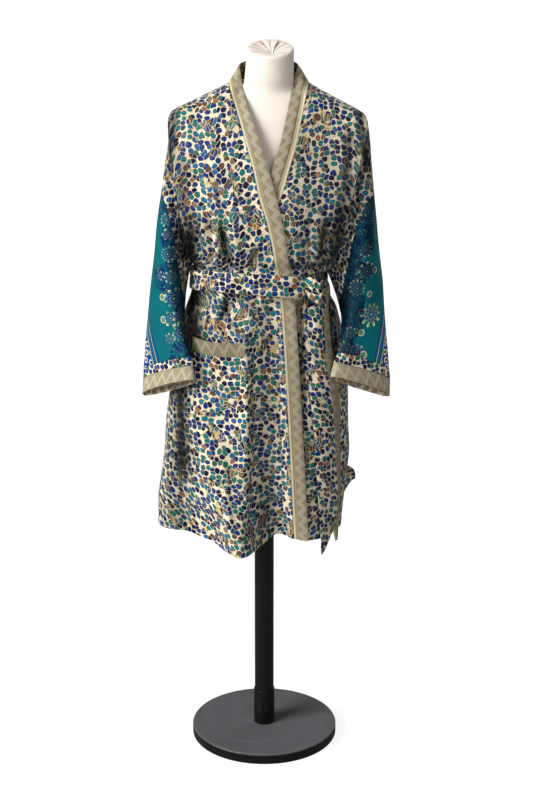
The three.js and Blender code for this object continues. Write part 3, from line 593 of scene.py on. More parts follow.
def shell(name, points, wall, flat, face, lining, shut=False, sign=1, normals=None, places=None):
    """A cloth wall: points[i][j] is its outside in mm, flat its print coordinates in mm."""
    n, m = points.shape[:2]
    if normals is None:
        normals = grid_normals(points, shut, sign)
    verts = np.concatenate([points.reshape(-1, 3), (points - wall * normals).reshape(-1, 3)]) * MM
    columns = n if shut else n - 1
    i, j = (a.ravel() for a in np.meshgrid(np.arange(columns), np.arange(m - 1), indexing="ij"))
    k = np.arange(columns)
    low, top = np.zeros_like(k), np.full_like(k, m - 1)
    quads = [
        ((0, i, j), (0, i + 1, j), (0, i + 1, j + 1), (0, i, j + 1), 0),
        ((1, i, j), (1, i, j + 1), (1, i + 1, j + 1), (1, i + 1, j), 1),
        ((1, k, low), (1, k + 1, low), (0, k + 1, low), (0, k, low), 0),
        ((0, k, top), (0, k + 1, top), (1, k + 1, top), (1, k, top), 0),
    ]
    if not shut:
        r = np.arange(m - 1)
        first, last = np.zeros_like(r), np.full_like(r, n - 1)
        quads.append(((0, first, r), (0, first, r + 1), (1, first, r + 1), (1, first, r), 0))
        quads.append(((1, last, r), (1, last, r + 1), (0, last, r + 1), (0, last, r), 0))
    faces, uvs, slots = [], [], []
    for *corners, slot in quads:
        faces.append(np.stack([layer * n * m + (a % n) * m + b for layer, a, b in corners], -1))
        uvs.append(np.stack([flat[a, b] for _, a, b in corners], 1))
        slots.append(np.full(len(faces[-1]), slot))
    faces, uvs, slots = np.concatenate(faces), np.concatenate(uvs) * MM, np.concatenate(slots)
    if face_inward(verts[faces]):
        faces, uvs = faces[:, ::-1], uvs[:, ::-1]
    both_sides = {key: np.tile(v.ravel(), 2) for key, v in (places or {}).items()}
    return make_object(name, verts, faces.tolist(), uvs, [face, lining], slots, both_sides)


def closed_rings(name, rings, material, flat=None, deep=None):
    """Rings of points closed by a fan at each end; used for the form, the knot and the stand."""
    count, n = rings.shape[:2]
    k, i = (a.ravel() for a in np.meshgrid(np.arange(count - 1), np.arange(n), indexing="ij"))
    quads = np.stack([k * n + i, k * n + (i + 1) % n, (k + 1) * n + (i + 1) % n, (k + 1) * n + i], -1)
    verts = np.concatenate([rings.reshape(-1, 3), rings[:1].mean(1), rings[-1:].mean(1)]) * MM
    if flat is None:
        around = arc(np.concatenate([rings, rings[:, :1]], 1), 1)
        height = arc(rings, 0)
        flat = stack(around, np.concatenate([height, height[:, :1]], 1))
    else:
        flat = np.concatenate([flat, flat[:, :1]], 1)
    uvs = np.stack([flat[k, i], flat[k, i + 1], flat[k + 1, i + 1], flat[k + 1, i]], 1)
    faces, corners = quads.tolist(), list(uvs)
    for end, centre, flip in ((0, count * n, True), (count - 1, count * n + 1, False)):
        for s in range(n):
            a, b = end * n + s, end * n + (s + 1) % n
            faces.append([centre, b, a] if flip else [centre, a, b])
            corners.append(flat[end, [s, s, s]])
    if face_inward(verts[quads]):
        faces = [face[::-1] for face in faces]
        corners = [c[::-1] for c in corners]
    # deep holds painted shade for each point, kept as the value deep
    places = {} if deep is None else {"deep": np.append(deep.ravel(), [0, deep[-1].mean()])}
    flat_uvs = np.concatenate(corners) * MM
    return make_object(name, verts, faces, flat_uvs, [material], np.zeros(len(faces)), places, sharp=50)


# ---------- shader bench ----------
class Bench:
    """Places and wires shader nodes in one tree."""

    def __init__(self, tree):
        self.tree = tree

    def node(self, kind, inputs=None, **settings):
        made = self.tree.nodes.new(kind)
        for key, value in settings.items():
            setattr(made, key, value)
        for key, value in (inputs or {}).items():
            self.feed(made.inputs[key], value)
        return made

    def feed(self, socket, value):
        if isinstance(value, bpy.types.NodeSocket):
            self.tree.links.new(value, socket)
        else:
            socket.default_value = value

    def maths(self, operation, *values, clamp=False):
        made = self.node("ShaderNodeMath", operation=operation, use_clamp=clamp)
        for socket, value in zip(made.inputs, values):
            self.feed(socket, value)
        return made.outputs[0]

    def vector(self, operation, *values):
        made = self.node("ShaderNodeVectorMath", operation=operation)
        for socket, value in zip(made.inputs, values):
            self.feed(socket, value)
        return made.outputs["Value" if operation in ("LENGTH", "DOT_PRODUCT") else "Vector"]

    def scale(self, vector, factor):
        made = self.node("ShaderNodeVectorMath", {0: vector, "Scale": factor}, operation="SCALE")
        return made.outputs["Vector"]

    def warp(self, vector, place, size, detail, amount):
        """A vector pushed about by slow noise."""
        push = self.vector("SUBTRACT", self.noise(place, size, detail)[1], (0.5, 0.5, 0.5))
        return self.vector("ADD", vector, self.scale(push, amount))

    def split(self, vector):
        return self.node("ShaderNodeSeparateXYZ", {0: vector}).outputs

    def join(self, x, y, z=0.0):
        return self.node("ShaderNodeCombineXYZ", {0: x, 1: y, 2: z}).outputs[0]

    def step(self, value, low, high):
        """0 below low, 1 above high, smooth between."""
        made = self.node("ShaderNodeMapRange", {0: value, 1: low, 2: high}, interpolation_type="SMOOTHSTEP")
        return made.outputs[0]

    def stripe(self, value, at, outer, inner):
        """1 where the value is within inner of at, 0 where it is further off than outer."""
        return self.step(self.maths("ABSOLUTE", self.maths("SUBTRACT", value, at)), outer, inner)

    def wave(self, value, turns, kind="SINE"):
        return self.maths(kind, self.maths("MULTIPLY", value, turns))

    def blend(self, share, a, b, mode="MIX"):
        made = self.node("ShaderNodeMix", data_type="RGBA", blend_type=mode)
        for socket, value in zip((made.inputs[0], made.inputs[6], made.inputs[7]), (share, a, b)):
            self.feed(socket, value)
        return made.outputs[2]

    def paint(self, cloth, where, tint, strength=1.0):
        """Cloth with a tint laid over it where the mask is 1."""
        if strength < 1.0:
            where = self.maths("MULTIPLY", where, strength)
        return self.blend(where, cloth, tint)

    def toned(self, cloth, tone):
        """Cloth darkened, or lightened above 1, by one tone."""
        grey = self.node("ShaderNodeCombineColor", {0: tone, 1: tone, 2: tone}).outputs[0]
        return self.blend(1.0, cloth, grey, "MULTIPLY")

    def kept(self, name):
        """A value kept at the mesh's points."""
        return self.node("ShaderNodeAttribute", attribute_name=name).outputs["Fac"]

    def noise(self, vector, scale, detail=2.0, rough=0.5):
        inputs = {"Vector": vector, "Scale": scale, "Detail": detail, "Roughness": rough}
        return self.node("ShaderNodeTexNoise", inputs).outputs

    def cells(self, vector, scale, feature="F1", random=1.0):
        inputs = {"Vector": vector, "Scale": scale, "Randomness": random}
        made = self.node("ShaderNodeTexVoronoi", inputs, voronoi_dimensions="2D", feature=feature)
        return made.outputs

    def palette(self, value, stops):
        """Flat bands of colour along a value."""
        made = self.node("ShaderNodeValToRGB", {0: value})
        ramp = made.color_ramp
        ramp.interpolation = "CONSTANT"
        while len(ramp.elements) < len(stops):
            ramp.elements.new(1.0)
        for element, (place, colour) in zip(ramp.elements, stops):
            element.position = place
            element.color = colour
        return made.outputs[0]


def colour(code):
    """A web colour as the linear one that shaders take."""
    parts = [int(code[k : k + 2], 16) / 255 for k in (0, 2, 4)]
    return [v / 12.92 if v <= 0.04045 else ((v + 0.055) / 1.055) ** 2.4 for v in parts] + [1.0]


def new_group(name, inputs, outputs):
    """An empty node group, a bench for it, and its inputs and outputs."""
    tree = bpy.data.node_groups.new(name, "ShaderNodeTree")
    for key, kind, value in inputs:
        made = tree.interface.new_socket(key, in_out="INPUT", socket_type=f"NodeSocket{kind}")
        if value is not None:
            made.default_value = value
    for key, kind in outputs:
        tree.interface.new_socket(key, in_out="OUTPUT", socket_type=f"NodeSocket{kind}")
    bench = Bench(tree)
    return tree, bench, bench.node("NodeGroupInput").outputs, bench.node("NodeGroupOutput").inputs


def weave_group():
    """Threads over and under, with a slow unevenness, for cloth seen close."""
    tree, b, given, out = new_group(
        "weave",
        [("Place", "Vector", None), ("Thread", "Float", 0.5), ("Unevenness", "Float", 0.4)],
        [("Height", "Float"), ("Tone", "Float")],
    )
    turns = b.maths("DIVIDE", TAU / MM, given["Thread"])
    x, y, _ = b.split(given["Place"])
    threads = b.maths("MULTIPLY", b.wave(x, turns), b.wave(y, turns))
    crossed = b.maths("MULTIPLY_ADD", threads, 0.5, 0.5)
    slub = b.noise(b.vector("MULTIPLY", given["Place"], (900.0, 60.0, 1.0)), 1.0, 2.0)[0]
    uneven = b.maths("MULTIPLY", b.maths("SUBTRACT", slub, 0.5), given["Unevenness"])
    b.feed(out["Height"], b.maths("ADD", crossed, uneven))
    b.feed(out["Tone"], b.maths("MULTIPLY_ADD", uneven, 0.5, 0.5))
    return tree


def handling_group():
    """Fine creases and a slow change of tone from handling and hanging."""
    tree, b, given, out = new_group(
        "handling",
        [("Place", "Vector", None), ("Crease Size", "Float", 30.0), ("Crease Depth", "Float", 1.0)],
        [("Height", "Float"), ("Tone", "Float")],
    )
    turned = b.vector("MULTIPLY", given["Place"], (1.0, 0.55, 1.0))
    fold = b.stripe(b.noise(turned, given["Crease Size"], 4.0, 0.55)[0], 0.5, 0.16, 0.0)
    b.feed(out["Height"], b.maths("MULTIPLY", fold, given["Crease Depth"]))
    b.feed(out["Tone"], b.noise(given["Place"], 9.0, 3.0)[0])
    return tree


CREAM = colour("d9ccad")
PALE_CREAM = colour("ece1c6")
HALO = colour("cdb47c")
NAVY = colour("060f3a")
ROYAL = colour("0b2c72")
SKY = colour("0e5c8e")
TEAL = colour("0a6b70")
GREEN = colour("176657")
BROWN = colour("5f3f30")
RUST = colour("8a5d3e")
INK = colour("050824")
PETAL_DARK = colour("0b1c58")
PETAL_BLUE = colour("15508f")
PETAL_TIP = colour("1b7f86")
PETAL_HEART = colour("0f2262")
PETAL_EYE = colour("ddd3a0")


def spot_print_group():
    """Rounded pebble spots with thin dark outlines on cream, broken here and there by leaf scraps."""
    tree, b, given, out = new_group(
        "spot_print",
        [("Place", "Vector", None), ("Spots Per Metre", "Float", 84.0), ("Scraps", "Float", 1.0)],
        [("Color", "Color"), ("Spot", "Float")],
    )
    place = given["Place"]
    bent = b.warp(place, place, 21.0, 1.0, 0.012)
    bent = b.warp(bent, place, 150.0, 2.0, 0.0034)
    cell = b.cells(bent, given["Spots Per Metre"], random=0.86)
    rim = b.cells(bent, given["Spots Per Metre"], "DISTANCE_TO_EDGE", 0.86)[0]
    pick, size, third = b.node("ShaderNodeSeparateColor", {0: cell["Color"]}).outputs
    inside = b.maths("SUBTRACT", rim, b.maths("MULTIPLY_ADD", size, 0.04, -0.012))
    rounded = b.maths("SUBTRACT", b.maths("MULTIPLY_ADD", third, -0.12, 0.57), cell["Distance"])
    inside = b.maths("SMOOTH_MIN", inside, rounded, 0.24)
    spot = b.step(inside, 0.0, 0.03)
    core = b.step(inside, 0.04, 0.17)
    heart = b.maths("MULTIPLY", b.step(inside, 0.18, 0.34), b.step(third, 0.5, 0.6))
    spot_stops = [
        (0.0, NAVY), (0.24, ROYAL), (0.5, TEAL), (0.64, GREEN), (0.74, SKY), (0.88, BROWN), (0.96, RUST),
    ]
    body = b.palette(pick, spot_stops)
    mottled = b.noise(place, 380.0, 2.0)[0]
    lighter = b.blend(1.0, body, (1.45, 1.45, 1.3, 1.0), "MULTIPLY")
    body = b.paint(body, b.step(mottled, 0.4, 0.7), lighter)
    body = b.paint(body, heart, b.blend(0.5, lighter, colour("4e9fc0")), 0.25)
    inked = b.blend(core, b.blend(0.75, body, INK), body)
    # the ground: cream, yellower close to a spot
    slow = b.noise(place, 16.0, 2.0)[0]
    ground = b.blend(b.step(slow, 0.35, 0.65), CREAM, PALE_CREAM)
    near = b.step(inside, -0.07, -0.01)
    ground = b.paint(ground, near, HALO, 0.4)
    # thin brown and grey twigs that wander between the spots
    twig = b.stripe(b.noise(place, 62.0, 1.5)[0], 0.5, 0.02, 0.009)
    twig = b.maths("MULTIPLY", twig, b.step(b.noise(place, 40.0, 1.0)[0], 0.42, 0.5))
    browner = b.step(b.noise(place, 30.0, 1.0)[1], 0.45, 0.55)
    ground = b.paint(ground, twig, b.blend(browner, colour("6d6047"), colour("93623f")), 0.8)
    printed = b.blend(spot, ground, inked)
    # torn leaf shapes crowd together in a few places
    patch = b.maths("MULTIPLY", b.step(b.noise(place, 26.0, 1.0)[0], 0.59, 0.63), given["Scraps"])
    torn = b.warp(b.vector("MULTIPLY", place, (1.0, 0.62, 1.0)), place, 55.0, 1.0, 0.017)
    leaf_cell = b.cells(torn, 140.0, random=1.0)
    leaf_rim = b.cells(torn, 140.0, "DISTANCE_TO_EDGE", 1.0)[0]
    leaf_pick = b.node("ShaderNodeSeparateColor", {0: leaf_cell["Color"]}).outputs[0]
    leaf_stops = [
        (0.0, ROYAL), (0.24, CREAM), (0.31, RUST), (0.4, NAVY), (0.62, TEAL), (0.86, BROWN), (0.94, HALO),
    ]
    scrap = b.blend(b.step(leaf_rim, 0.06, 0.1), HALO, b.palette(leaf_pick, leaf_stops))
    b.feed(out["Color"], b.paint(printed, patch, scrap, 0.95))
    b.feed(out["Spot"], spot)
    return tree


def flower_head_group():
    """One flower head painted over the cloth: ringed petals with beads, or an open ring."""
    tree, b, given, out = new_group(
        "flower_head",
        [("Cloth", "Color", None), ("Place", "Vector", None), ("Centre", "Vector", None),
         ("Radius", "Float", 12.0), ("Petals", "Float", 9.0), ("Points", "Float", 0.09),
         ("Tip", "Color", PETAL_TIP), ("Open", "Float", 0.0)],
        [("Color", "Color")],
    )
    lx, ly, _ = b.split(b.vector("SUBTRACT", given["Place"], given["Centre"]))
    angle = b.maths("ARCTAN2", ly, lx)
    reach = b.maths("MULTIPLY", b.vector("LENGTH", b.join(lx, ly)), 1 / MM)
    turns = b.maths("MULTIPLY", angle, given["Petals"])
    lobes = b.maths("COSINE", turns)
    pointed = b.maths("MULTIPLY_ADD", lobes, given["Points"], 1.0)
    share = b.maths("DIVIDE", reach, b.maths("MULTIPLY", given["Radius"], pointed))
    vein = b.maths("ABSOLUTE", b.wave(turns, 0.5))
    petals = b.blend(b.step(vein, 0.1, 0.4), PETAL_DARK, PETAL_BLUE)
    petals = b.paint(petals, b.step(share, 0.62, 0.92), given["Tip"], 0.8)
    petals = b.paint(petals, b.stripe(share, 0.62, 0.05, 0.02), colour("0d1f5c"))
    petals = b.paint(petals, b.step(share, 0.46, 0.42), PETAL_HEART)
    petals = b.paint(petals, b.stripe(share, 0.42, 0.07, 0.03), colour("7f9c58"), 0.8)
    petals = b.paint(petals, b.step(share, 0.22, 0.18), colour("14778a"))
    petals = b.paint(petals, b.step(share, 0.1, 0.07), PETAL_EYE)
    rim = b.blend(b.step(lobes, -0.5, 0.2), colour("0d1b4e"), colour("86a466"))
    petals = b.paint(petals, b.stripe(share, 0.95, 0.07, 0.03), rim, 0.85)
    dotted = b.step(b.wave(turns, 2.0, "COSINE"), 0.3, 0.8)
    dots = b.maths("MULTIPLY", b.stripe(share, 0.78, 0.08, 0.03), dotted)
    petals = b.paint(petals, dots, colour("a7b777"), 0.7)
    closed = b.paint(given["Cloth"], b.step(share, 1.03, 0.99), petals)
    # beads round part of the rim
    lit = b.step(b.maths("SINE", b.maths("ADD", angle, given["Radius"])), -0.2, 0.2)
    beads = b.maths("MULTIPLY", b.stripe(share, 1.1, 0.1, 0.05), b.step(lobes, 0.0, 0.5))
    closed = b.paint(closed, b.maths("MULTIPLY", beads, lit), colour("e6dcb4"))
    # the open ring
    hollow = b.blend(b.step(share, 0.66, 0.62), colour("0e2258"), colour("138078"))
    hollow = b.paint(hollow, b.stripe(share, 0.3, 0.09, 0.05), colour("6fa068"))
    hollow = b.paint(hollow, b.stripe(share, 0.82, 0.16, 0.08), colour("dccfa2"))
    opened = b.paint(given["Cloth"], b.step(share, 1.06, 1.02), hollow)
    b.feed(out["Color"], b.blend(given["Open"], closed, opened))
    return tree


def flower_cloth_group():
    """Teal cloth with scrolling leaves in blues, and loose flower heads where it is half covered."""
    tree, b, given, out = new_group(
        "flower_cloth",
        [("Place", "Vector", None), ("Bloom", "Float", 0.5)],
        [("Color", "Color")],
    )
    place = given["Place"]
    bent = b.warp(place, place, 45.0, 1.0, 0.004)
    bands = b.wave(b.noise(bent, 34.0, 1.2, 0.4)[0], 70.0)
    leaf = b.blend(b.step(bands, -0.2, 0.15), colour("063a66"), colour("056478"))
    leaf = b.paint(leaf, b.step(b.noise(bent, 60.0, 1.0)[0], 0.52, 0.58), colour("0a2b5c"))
    leaf = b.paint(leaf, b.stripe(bands, 0.6, 0.2, 0.05), colour("14877c"), 0.7)
    leaf = b.paint(leaf, b.stripe(bands, -0.35, 0.3, 0.08), colour("06122f"), 0.75)
    seed = b.step(b.cells(place, 190.0, random=0.9)["Distance"], 0.2, 0.14)
    seed = b.maths("MULTIPLY", seed, b.step(b.noise(place, 48.0, 1.0)[0], 0.56, 0.6))
    leaf = b.paint(leaf, seed, colour("c9c78e"), 0.85)
    edge = b.maths("MULTIPLY_ADD", b.noise(place, 42.0, 2.0)[0], 0.7, -0.35)
    covered = b.step(b.maths("ADD", given["Bloom"], edge), 0.5, 0.53)
    teal = b.blend(b.noise(place, 12.0, 2.0)[0], colour("025a63"), colour("03686e"))
    cloth = b.blend(covered, teal, leaf)
    # loose flower heads
    cell = b.cells(bent, 27.0, random=0.62)
    pick = b.node("ShaderNodeSeparateColor", {0: cell["Color"]}).outputs[0]
    lx, ly, _ = b.split(b.vector("SUBTRACT", bent, cell["Position"]))
    turns = b.maths("MULTIPLY", b.maths("ARCTAN2", ly, lx), 9.0)
    reach = b.maths("MULTIPLY", b.vector("LENGTH", b.join(lx, ly)), 1 / MM)
    share = b.maths("DIVIDE", reach, b.maths("MULTIPLY_ADD", b.maths("COSINE", turns), 1.1, 10.5))
    vein = b.maths("ABSOLUTE", b.wave(turns, 0.5))
    head = b.blend(b.step(vein, 0.1, 0.4), PETAL_DARK, PETAL_BLUE)
    head = b.paint(head, b.step(share, 0.72, 0.76), PETAL_TIP)
    head = b.paint(head, b.step(share, 0.4, 0.36), PETAL_HEART)
    head = b.paint(head, b.step(share, 0.2, 0.16), PETAL_EYE)
    half = b.maths("MULTIPLY", b.step(given["Bloom"], 0.25, 0.3), b.step(given["Bloom"], 0.86, 0.8))
    shown = b.maths("MULTIPLY", b.step(share, 1.03, 0.99), b.step(pick, 0.45, 0.46))
    b.feed(out["Color"], b.paint(cloth, b.maths("MULTIPLY", shown, half), head))
    return tree


def trim_group():
    """Woven border: a hatched zigzag on olive beige, a fine line, then a plain edge with stitches."""
    tree, b, given, out = new_group(
        "trim_border",
        [("Along", "Float", 0.0), ("Across", "Float", 0.0), ("Border Width", "Float", 27.0),
         ("Line Width", "Float", 4.2), ("Ground", "Color", colour("8f8565")),
         ("Zigzag", "Color", colour("b5af97")), ("Outline", "Float", 0.6)],
        [("Color", "Color"), ("Height", "Float")],
    )
    wobble = b.noise(b.join(given["Along"], given["Across"]), 150.0, 2.0)[0]
    along = b.maths("MULTIPLY_ADD", given["Along"], 1 / MM, b.maths("MULTIPLY_ADD", wobble, 2.0, -1.0))
    over = b.maths("MULTIPLY", given["Across"], 1 / MM)
    width = given["Border Width"]
    tooth = b.maths("MULTIPLY", b.maths("PINGPONG", along, 13.0), b.maths("MULTIPLY", width, 0.046))
    off_line = b.maths("SUBTRACT", b.maths("SUBTRACT", over, tooth), b.maths("MULTIPLY", width, 0.2))
    inside = b.maths("SUBTRACT", given["Line Width"], b.maths("ABSOLUTE", off_line))
    zig = b.step(inside, -0.5, 0.6)
    hatch = b.wave(b.maths("ADD", along, over), TAU / 2.3)
    cross = b.wave(b.maths("SUBTRACT", along, b.maths("MULTIPLY", over, 0.8)), TAU / 1.9)
    threads = b.maths("MULTIPLY_ADD", b.maths("ADD", hatch, b.maths("MULTIPLY", cross, 0.6)), 0.3, 0.45)
    pale = b.blend(threads, given["Zigzag"], b.blend(0.75, given["Zigzag"], given["Ground"]))
    cloth = b.paint(given["Ground"], zig, pale, 0.85)
    outline = b.maths("MULTIPLY", b.stripe(inside, 0.0, 0.9, 0.3), given["Outline"])
    cloth = b.paint(cloth, outline, colour("d2ccb8"))
    speck = b.noise(b.join(given["Along"], given["Across"]), 1100.0, 2.0)[0]
    cloth = b.paint(cloth, b.step(speck, 0.45, 0.7), colour("6c6146"), 0.4)
    cloth = b.paint(cloth, b.step(speck, 0.45, 0.25), colour("cdc6ae"), 0.3)
    # fine dark gold line, ribbed edge, then plain cream with a row of stitches
    fine = b.stripe(over, b.maths("SUBTRACT", width, 1.2), 1.0, 0.5)
    cloth = b.paint(cloth, fine, colour("7a6038"), 0.85)
    past = b.step(over, b.maths("SUBTRACT", width, 0.4), b.maths("ADD", width, 0.1))
    rib = b.maths("MULTIPLY_ADD", b.wave(along, TAU / 1.9), 0.5, 0.5)
    cloth = b.paint(cloth, past, b.blend(rib, colour("b8ac8c"), colour("8c7f5e")))
    cream_from = b.maths("ADD", width, 6.4)
    cream = b.step(over, b.maths("SUBTRACT", cream_from, 0.4), b.maths("ADD", cream_from, 0.2))
    cloth = b.paint(cloth, cream, colour("d2c7aa"))
    dash = b.step(b.wave(along, TAU / 4.4, "COSINE"), -0.1, 0.2)
    stitches = b.maths("MULTIPLY", dash, b.stripe(over, cream_from, 1.1, 0.5))
    cloth = b.paint(cloth, stitches, colour("705f3c"), 0.8)
    height = b.maths("ADD", b.maths("MULTIPLY", zig, 0.5), b.maths("MULTIPLY", threads, 0.4))
    height = b.maths("SUBTRACT", height, b.maths("MULTIPLY", fine, 0.5))
    b.feed(out["Color"], cloth)
    b.feed(out["Height"], height)
    return tree


WEAVE = weave_group()
HANDLING = handling_group()
SPOT_PRINT = spot_print_group()
FLOWER_HEAD = flower_head_group()
FLOWER_CLOTH = flower_cloth_group()
TRIM = trim_group()


def use_group(bench, tree, inputs):
    made = bench.tree.nodes.new("ShaderNodeGroup")
    made.node_tree = tree
    for key, value in inputs.items():
        bench.feed(made.inputs[key], value)
    return made.outputs


def start_material(name, **constants):
    material = bpy.data.materials.new(name)
    material.use_nodes = True
    bench = Bench(material.node_tree)
    shader = material.node_tree.nodes["Principled BSDF"]
    for key, value in constants.items():
        shader.inputs[key.replace("_", " ")].default_value = value
    return material, bench, shader


def cloth_place(bench):
    return bench.node("ShaderNodeUVMap", uv_map="cloth").outputs[0]


def soft_relief(bench, shader, place, thread, crease_size, crease_depth, extra=None, distance=0.0006):
    """Weave, fine creases and any raised pattern as one bump."""
    weave = use_group(bench, WEAVE, {"Place": place, "Thread": thread})
    creases = {"Place": place, "Crease Size": crease_size, "Crease Depth": crease_depth}
    handled = use_group(bench, HANDLING, creases)
    height = bench.maths("MULTIPLY_ADD", weave["Height"], 0.12, handled["Height"])
    if extra is not None:
        height = bench.maths("ADD", height, extra)
    bump = bench.node("ShaderNodeBump", {"Height": height, "Strength": 0.5, "Distance": distance})
    bench.feed(shader.inputs["Normal"], bump.outputs[0])
    return weave, handled


def printed_cloth(name, reverse=False, spots=84.0, scraps=1.0, lining=False):
    """The robe's print; its reverse is duller and browner, and a lining is yellower."""
    material, b, shader = start_material(name, Specular_IOR_Level=0.16)
    place = cloth_place(b)
    pattern = use_group(b, SPOT_PRINT, {"Place": place, "Spots Per Metre": spots, "Scraps": scraps})
    weave, handled = soft_relief(b, shader, place, 0.55, 26.0, 0.35)
    cloth = pattern["Color"]
    if reverse:
        cloth = b.blend(0.45, cloth, colour("b8a27c"))
    if lining:
        cloth = b.blend(1.0, cloth, colour("d9c9a4"), "MULTIPLY")
    tone = b.maths("MULTIPLY_ADD", handled["Tone"], 0.16, 0.92)
    # painted shade: the colour darkened by the value deep kept at the points
    tone = b.maths("MULTIPLY", tone, b.maths("SUBTRACT", 1.0, b.kept("deep")))
    b.feed(shader.inputs["Base Color"], b.toned(cloth, tone))
    gloss = b.maths("MULTIPLY_ADD", handled["Tone"], 0.16, 0.54 if reverse else 0.36)
    b.feed(shader.inputs["Roughness"], b.maths("MULTIPLY_ADD", weave["Tone"], 0.08, gloss))
    return material


def teal_cloth(name, shift, heads, shade, leaf_shade):
    """A sleeve's flowered cloth, with its flower heads, the border across its outer corner, and painted
    light and shade over the whole cloth, over its leaves and in its folds.
    """
    material, b, shader = start_material(name, Specular_IOR_Level=0.09)
    place = cloth_place(b)
    bloom = b.kept("bloom")
    weave, handled = soft_relief(b, shader, place, 0.5, 22.0, 0.3)
    cloth = use_group(b, FLOWER_CLOTH, {"Place": place, "Bloom": bloom})["Color"]
    for u, v, radius, petals, points, tip, is_open in heads:
        head = {
            "Cloth": cloth, "Place": place, "Centre": ((u + shift) * MM, v * MM, 0.0), "Radius": radius,
            "Petals": petals, "Points": points, "Tip": colour(tip), "Open": is_open,
        }
        cloth = use_group(b, FLOWER_HEAD, head)["Color"]
    # painted shade: the leaf-covered part of the cloth darkened by this sleeve's own factor
    cloth = b.toned(cloth, b.maths("MULTIPLY_ADD", b.step(bloom, 0.4, 1.0), leaf_shade - 1.0, 1.0))
    # the corner border: a blue twill band, narrow stripes between two gold lines, then cream rings
    mm = b.maths("MULTIPLY", b.kept("corner"), 1 / MM)
    x, y, _ = b.split(place)
    twill = b.wave(b.maths("ADD", x, y), TAU / (3.2 * MM))
    band = b.blend(b.step(twill, -0.2, 0.2), colour("0f2566"), colour("0a5c88"))
    cloth = b.paint(cloth, b.step(mm, -9.0, -8.4), band)
    stripes = b.step(b.maths("PINGPONG", mm, 3.0), 1.2, 2.0)
    cloth = b.paint(cloth, b.step(mm, 0.6, 1.0), b.blend(stripes, colour("077580"), colour("122c74")))
    ring = b.cells(place, 60.0, random=0.5)["Distance"]
    floral = b.blend(b.stripe(ring, 0.3, 0.11, 0.07), colour("0f3f8c"), colour("d9d2ad"))
    floral = b.paint(floral, b.step(ring, 0.2, 0.14), colour("111d5c"))
    cloth = b.paint(cloth, b.step(mm, 17.0, 17.6), floral)
    gold = b.maths("MAXIMUM", b.stripe(mm, 0.0, 1.2, 0.7), b.stripe(mm, 14.0, 1.2, 0.7))
    cloth = b.paint(cloth, gold, colour("c3b276"))
    # painted light and shade: the whole cloth lightened or darkened by this sleeve's own factor, then
    # darkened in its folds by the value deep kept at the points
    tone = b.maths("MULTIPLY_ADD", handled["Tone"], 0.2 * shade, 0.9 * shade)
    tone = b.maths("MULTIPLY", tone, b.maths("SUBTRACT", 1.0, b.kept("deep")))
    b.feed(shader.inputs["Base Color"], b.toned(cloth, tone))
    gloss = b.maths("MULTIPLY_ADD", handled["Tone"], 0.14, 0.36)
    b.feed(shader.inputs["Roughness"], b.maths("MULTIPLY_ADD", weave["Tone"], 0.08, gloss))
    return material


def trim_band(name, width, line, ground, zigzag, outline):
    """The print coordinates run along the band in x and across it in y, from its plain edge."""
    material, b, shader = start_material(name, Specular_IOR_Level=0.2)
    place = cloth_place(b)
    x, y, _ = b.split(place)
    given = {
        "Along": x, "Across": y, "Border Width": width, "Line Width": line,
        "Ground": colour(ground), "Zigzag": colour(zigzag), "Outline": outline,
    }
    border = use_group(b, TRIM, given)
    weave, handled = soft_relief(b, shader, place, 0.7, 30.0, 0.25, border["Height"])
    cloth = b.toned(border["Color"], b.maths("MULTIPLY_ADD", handled["Tone"], 0.2, 0.9))
    b.feed(shader.inputs["Base Color"], cloth)
    b.feed(shader.inputs["Roughness"], b.maths("MULTIPLY_ADD", weave["Tone"], 0.12, 0.48))
    return material


def jersey_cloth():
    """The form's cover: fine ribs, with painted brown shade where it is gathered deep."""
    finish = {"Sheen_Weight": 0.3, "Sheen_Roughness": 0.6, "Specular_IOR_Level": 0.2}
    material, b, shader = start_material("jersey_cloth", **finish)
    place = cloth_place(b)
    weave, handled = soft_relief(b, shader, place, 0.9, 14.0, 0.15, distance=0.0004)
    x, _, _ = b.split(place)
    rib = b.maths("MULTIPLY_ADD", b.wave(x, TAU / (1.8 * MM)), 0.5, 0.5)
    base = b.paint(colour("f1e7dc"), rib, colour("e9ddcd"), 0.25)
    base = b.paint(base, handled["Tone"], colour("ecdfd0"), 0.3)
    # painted shade: dark brown laid over the cloth by the value deep, in the gathers at the neck's top
    b.feed(shader.inputs["Base Color"], b.paint(base, b.kept("deep"), colour("6b4630")))
    b.feed(shader.inputs["Roughness"], b.maths("MULTIPLY_ADD", weave["Tone"], 0.1, 0.78))
    return material


def stand_metal(name, painted_reflection_top=False):
    """Black painted metal with a little dust; the foot's top face gets a lighter grey, a painted
    reflection.
    """
    material, b, shader = start_material(name, Specular_IOR_Level=0.22)
    place = cloth_place(b)
    grain = b.noise(place, 2600.0, 2.0)[0]
    smear = b.noise(place, 18.0, 3.0)[0]
    dust = b.step(b.noise(place, 340.0, 3.0, 0.6)[0], 0.6, 0.78)
    base = b.paint(colour("0c0c0d"), dust, colour("2c2c2e"), 0.25)
    if painted_reflection_top:
        # painted reflection: the foot's top face is given a lighter grey than its sides
        up = b.split(b.node("ShaderNodeTexCoord").outputs["Object"])[2]
        top = b.step(up, (DISC_TOP - DISC_EDGE) * MM, (DISC_TOP - 0.4) * MM)
        base = b.paint(base, top, b.blend(smear, colour("565558"), colour("68666a")))
    b.feed(shader.inputs["Base Color"], base)
    rough = b.maths("MULTIPLY_ADD", smear, 0.18, 0.3)
    b.feed(shader.inputs["Roughness"], b.maths("MULTIPLY_ADD", dust, 0.15, rough))
    bump = b.node("ShaderNodeBump", {"Height": grain, "Strength": 0.12, "Distance": 0.0002})
    b.feed(shader.inputs["Normal"], bump.outputs[0])
    return material


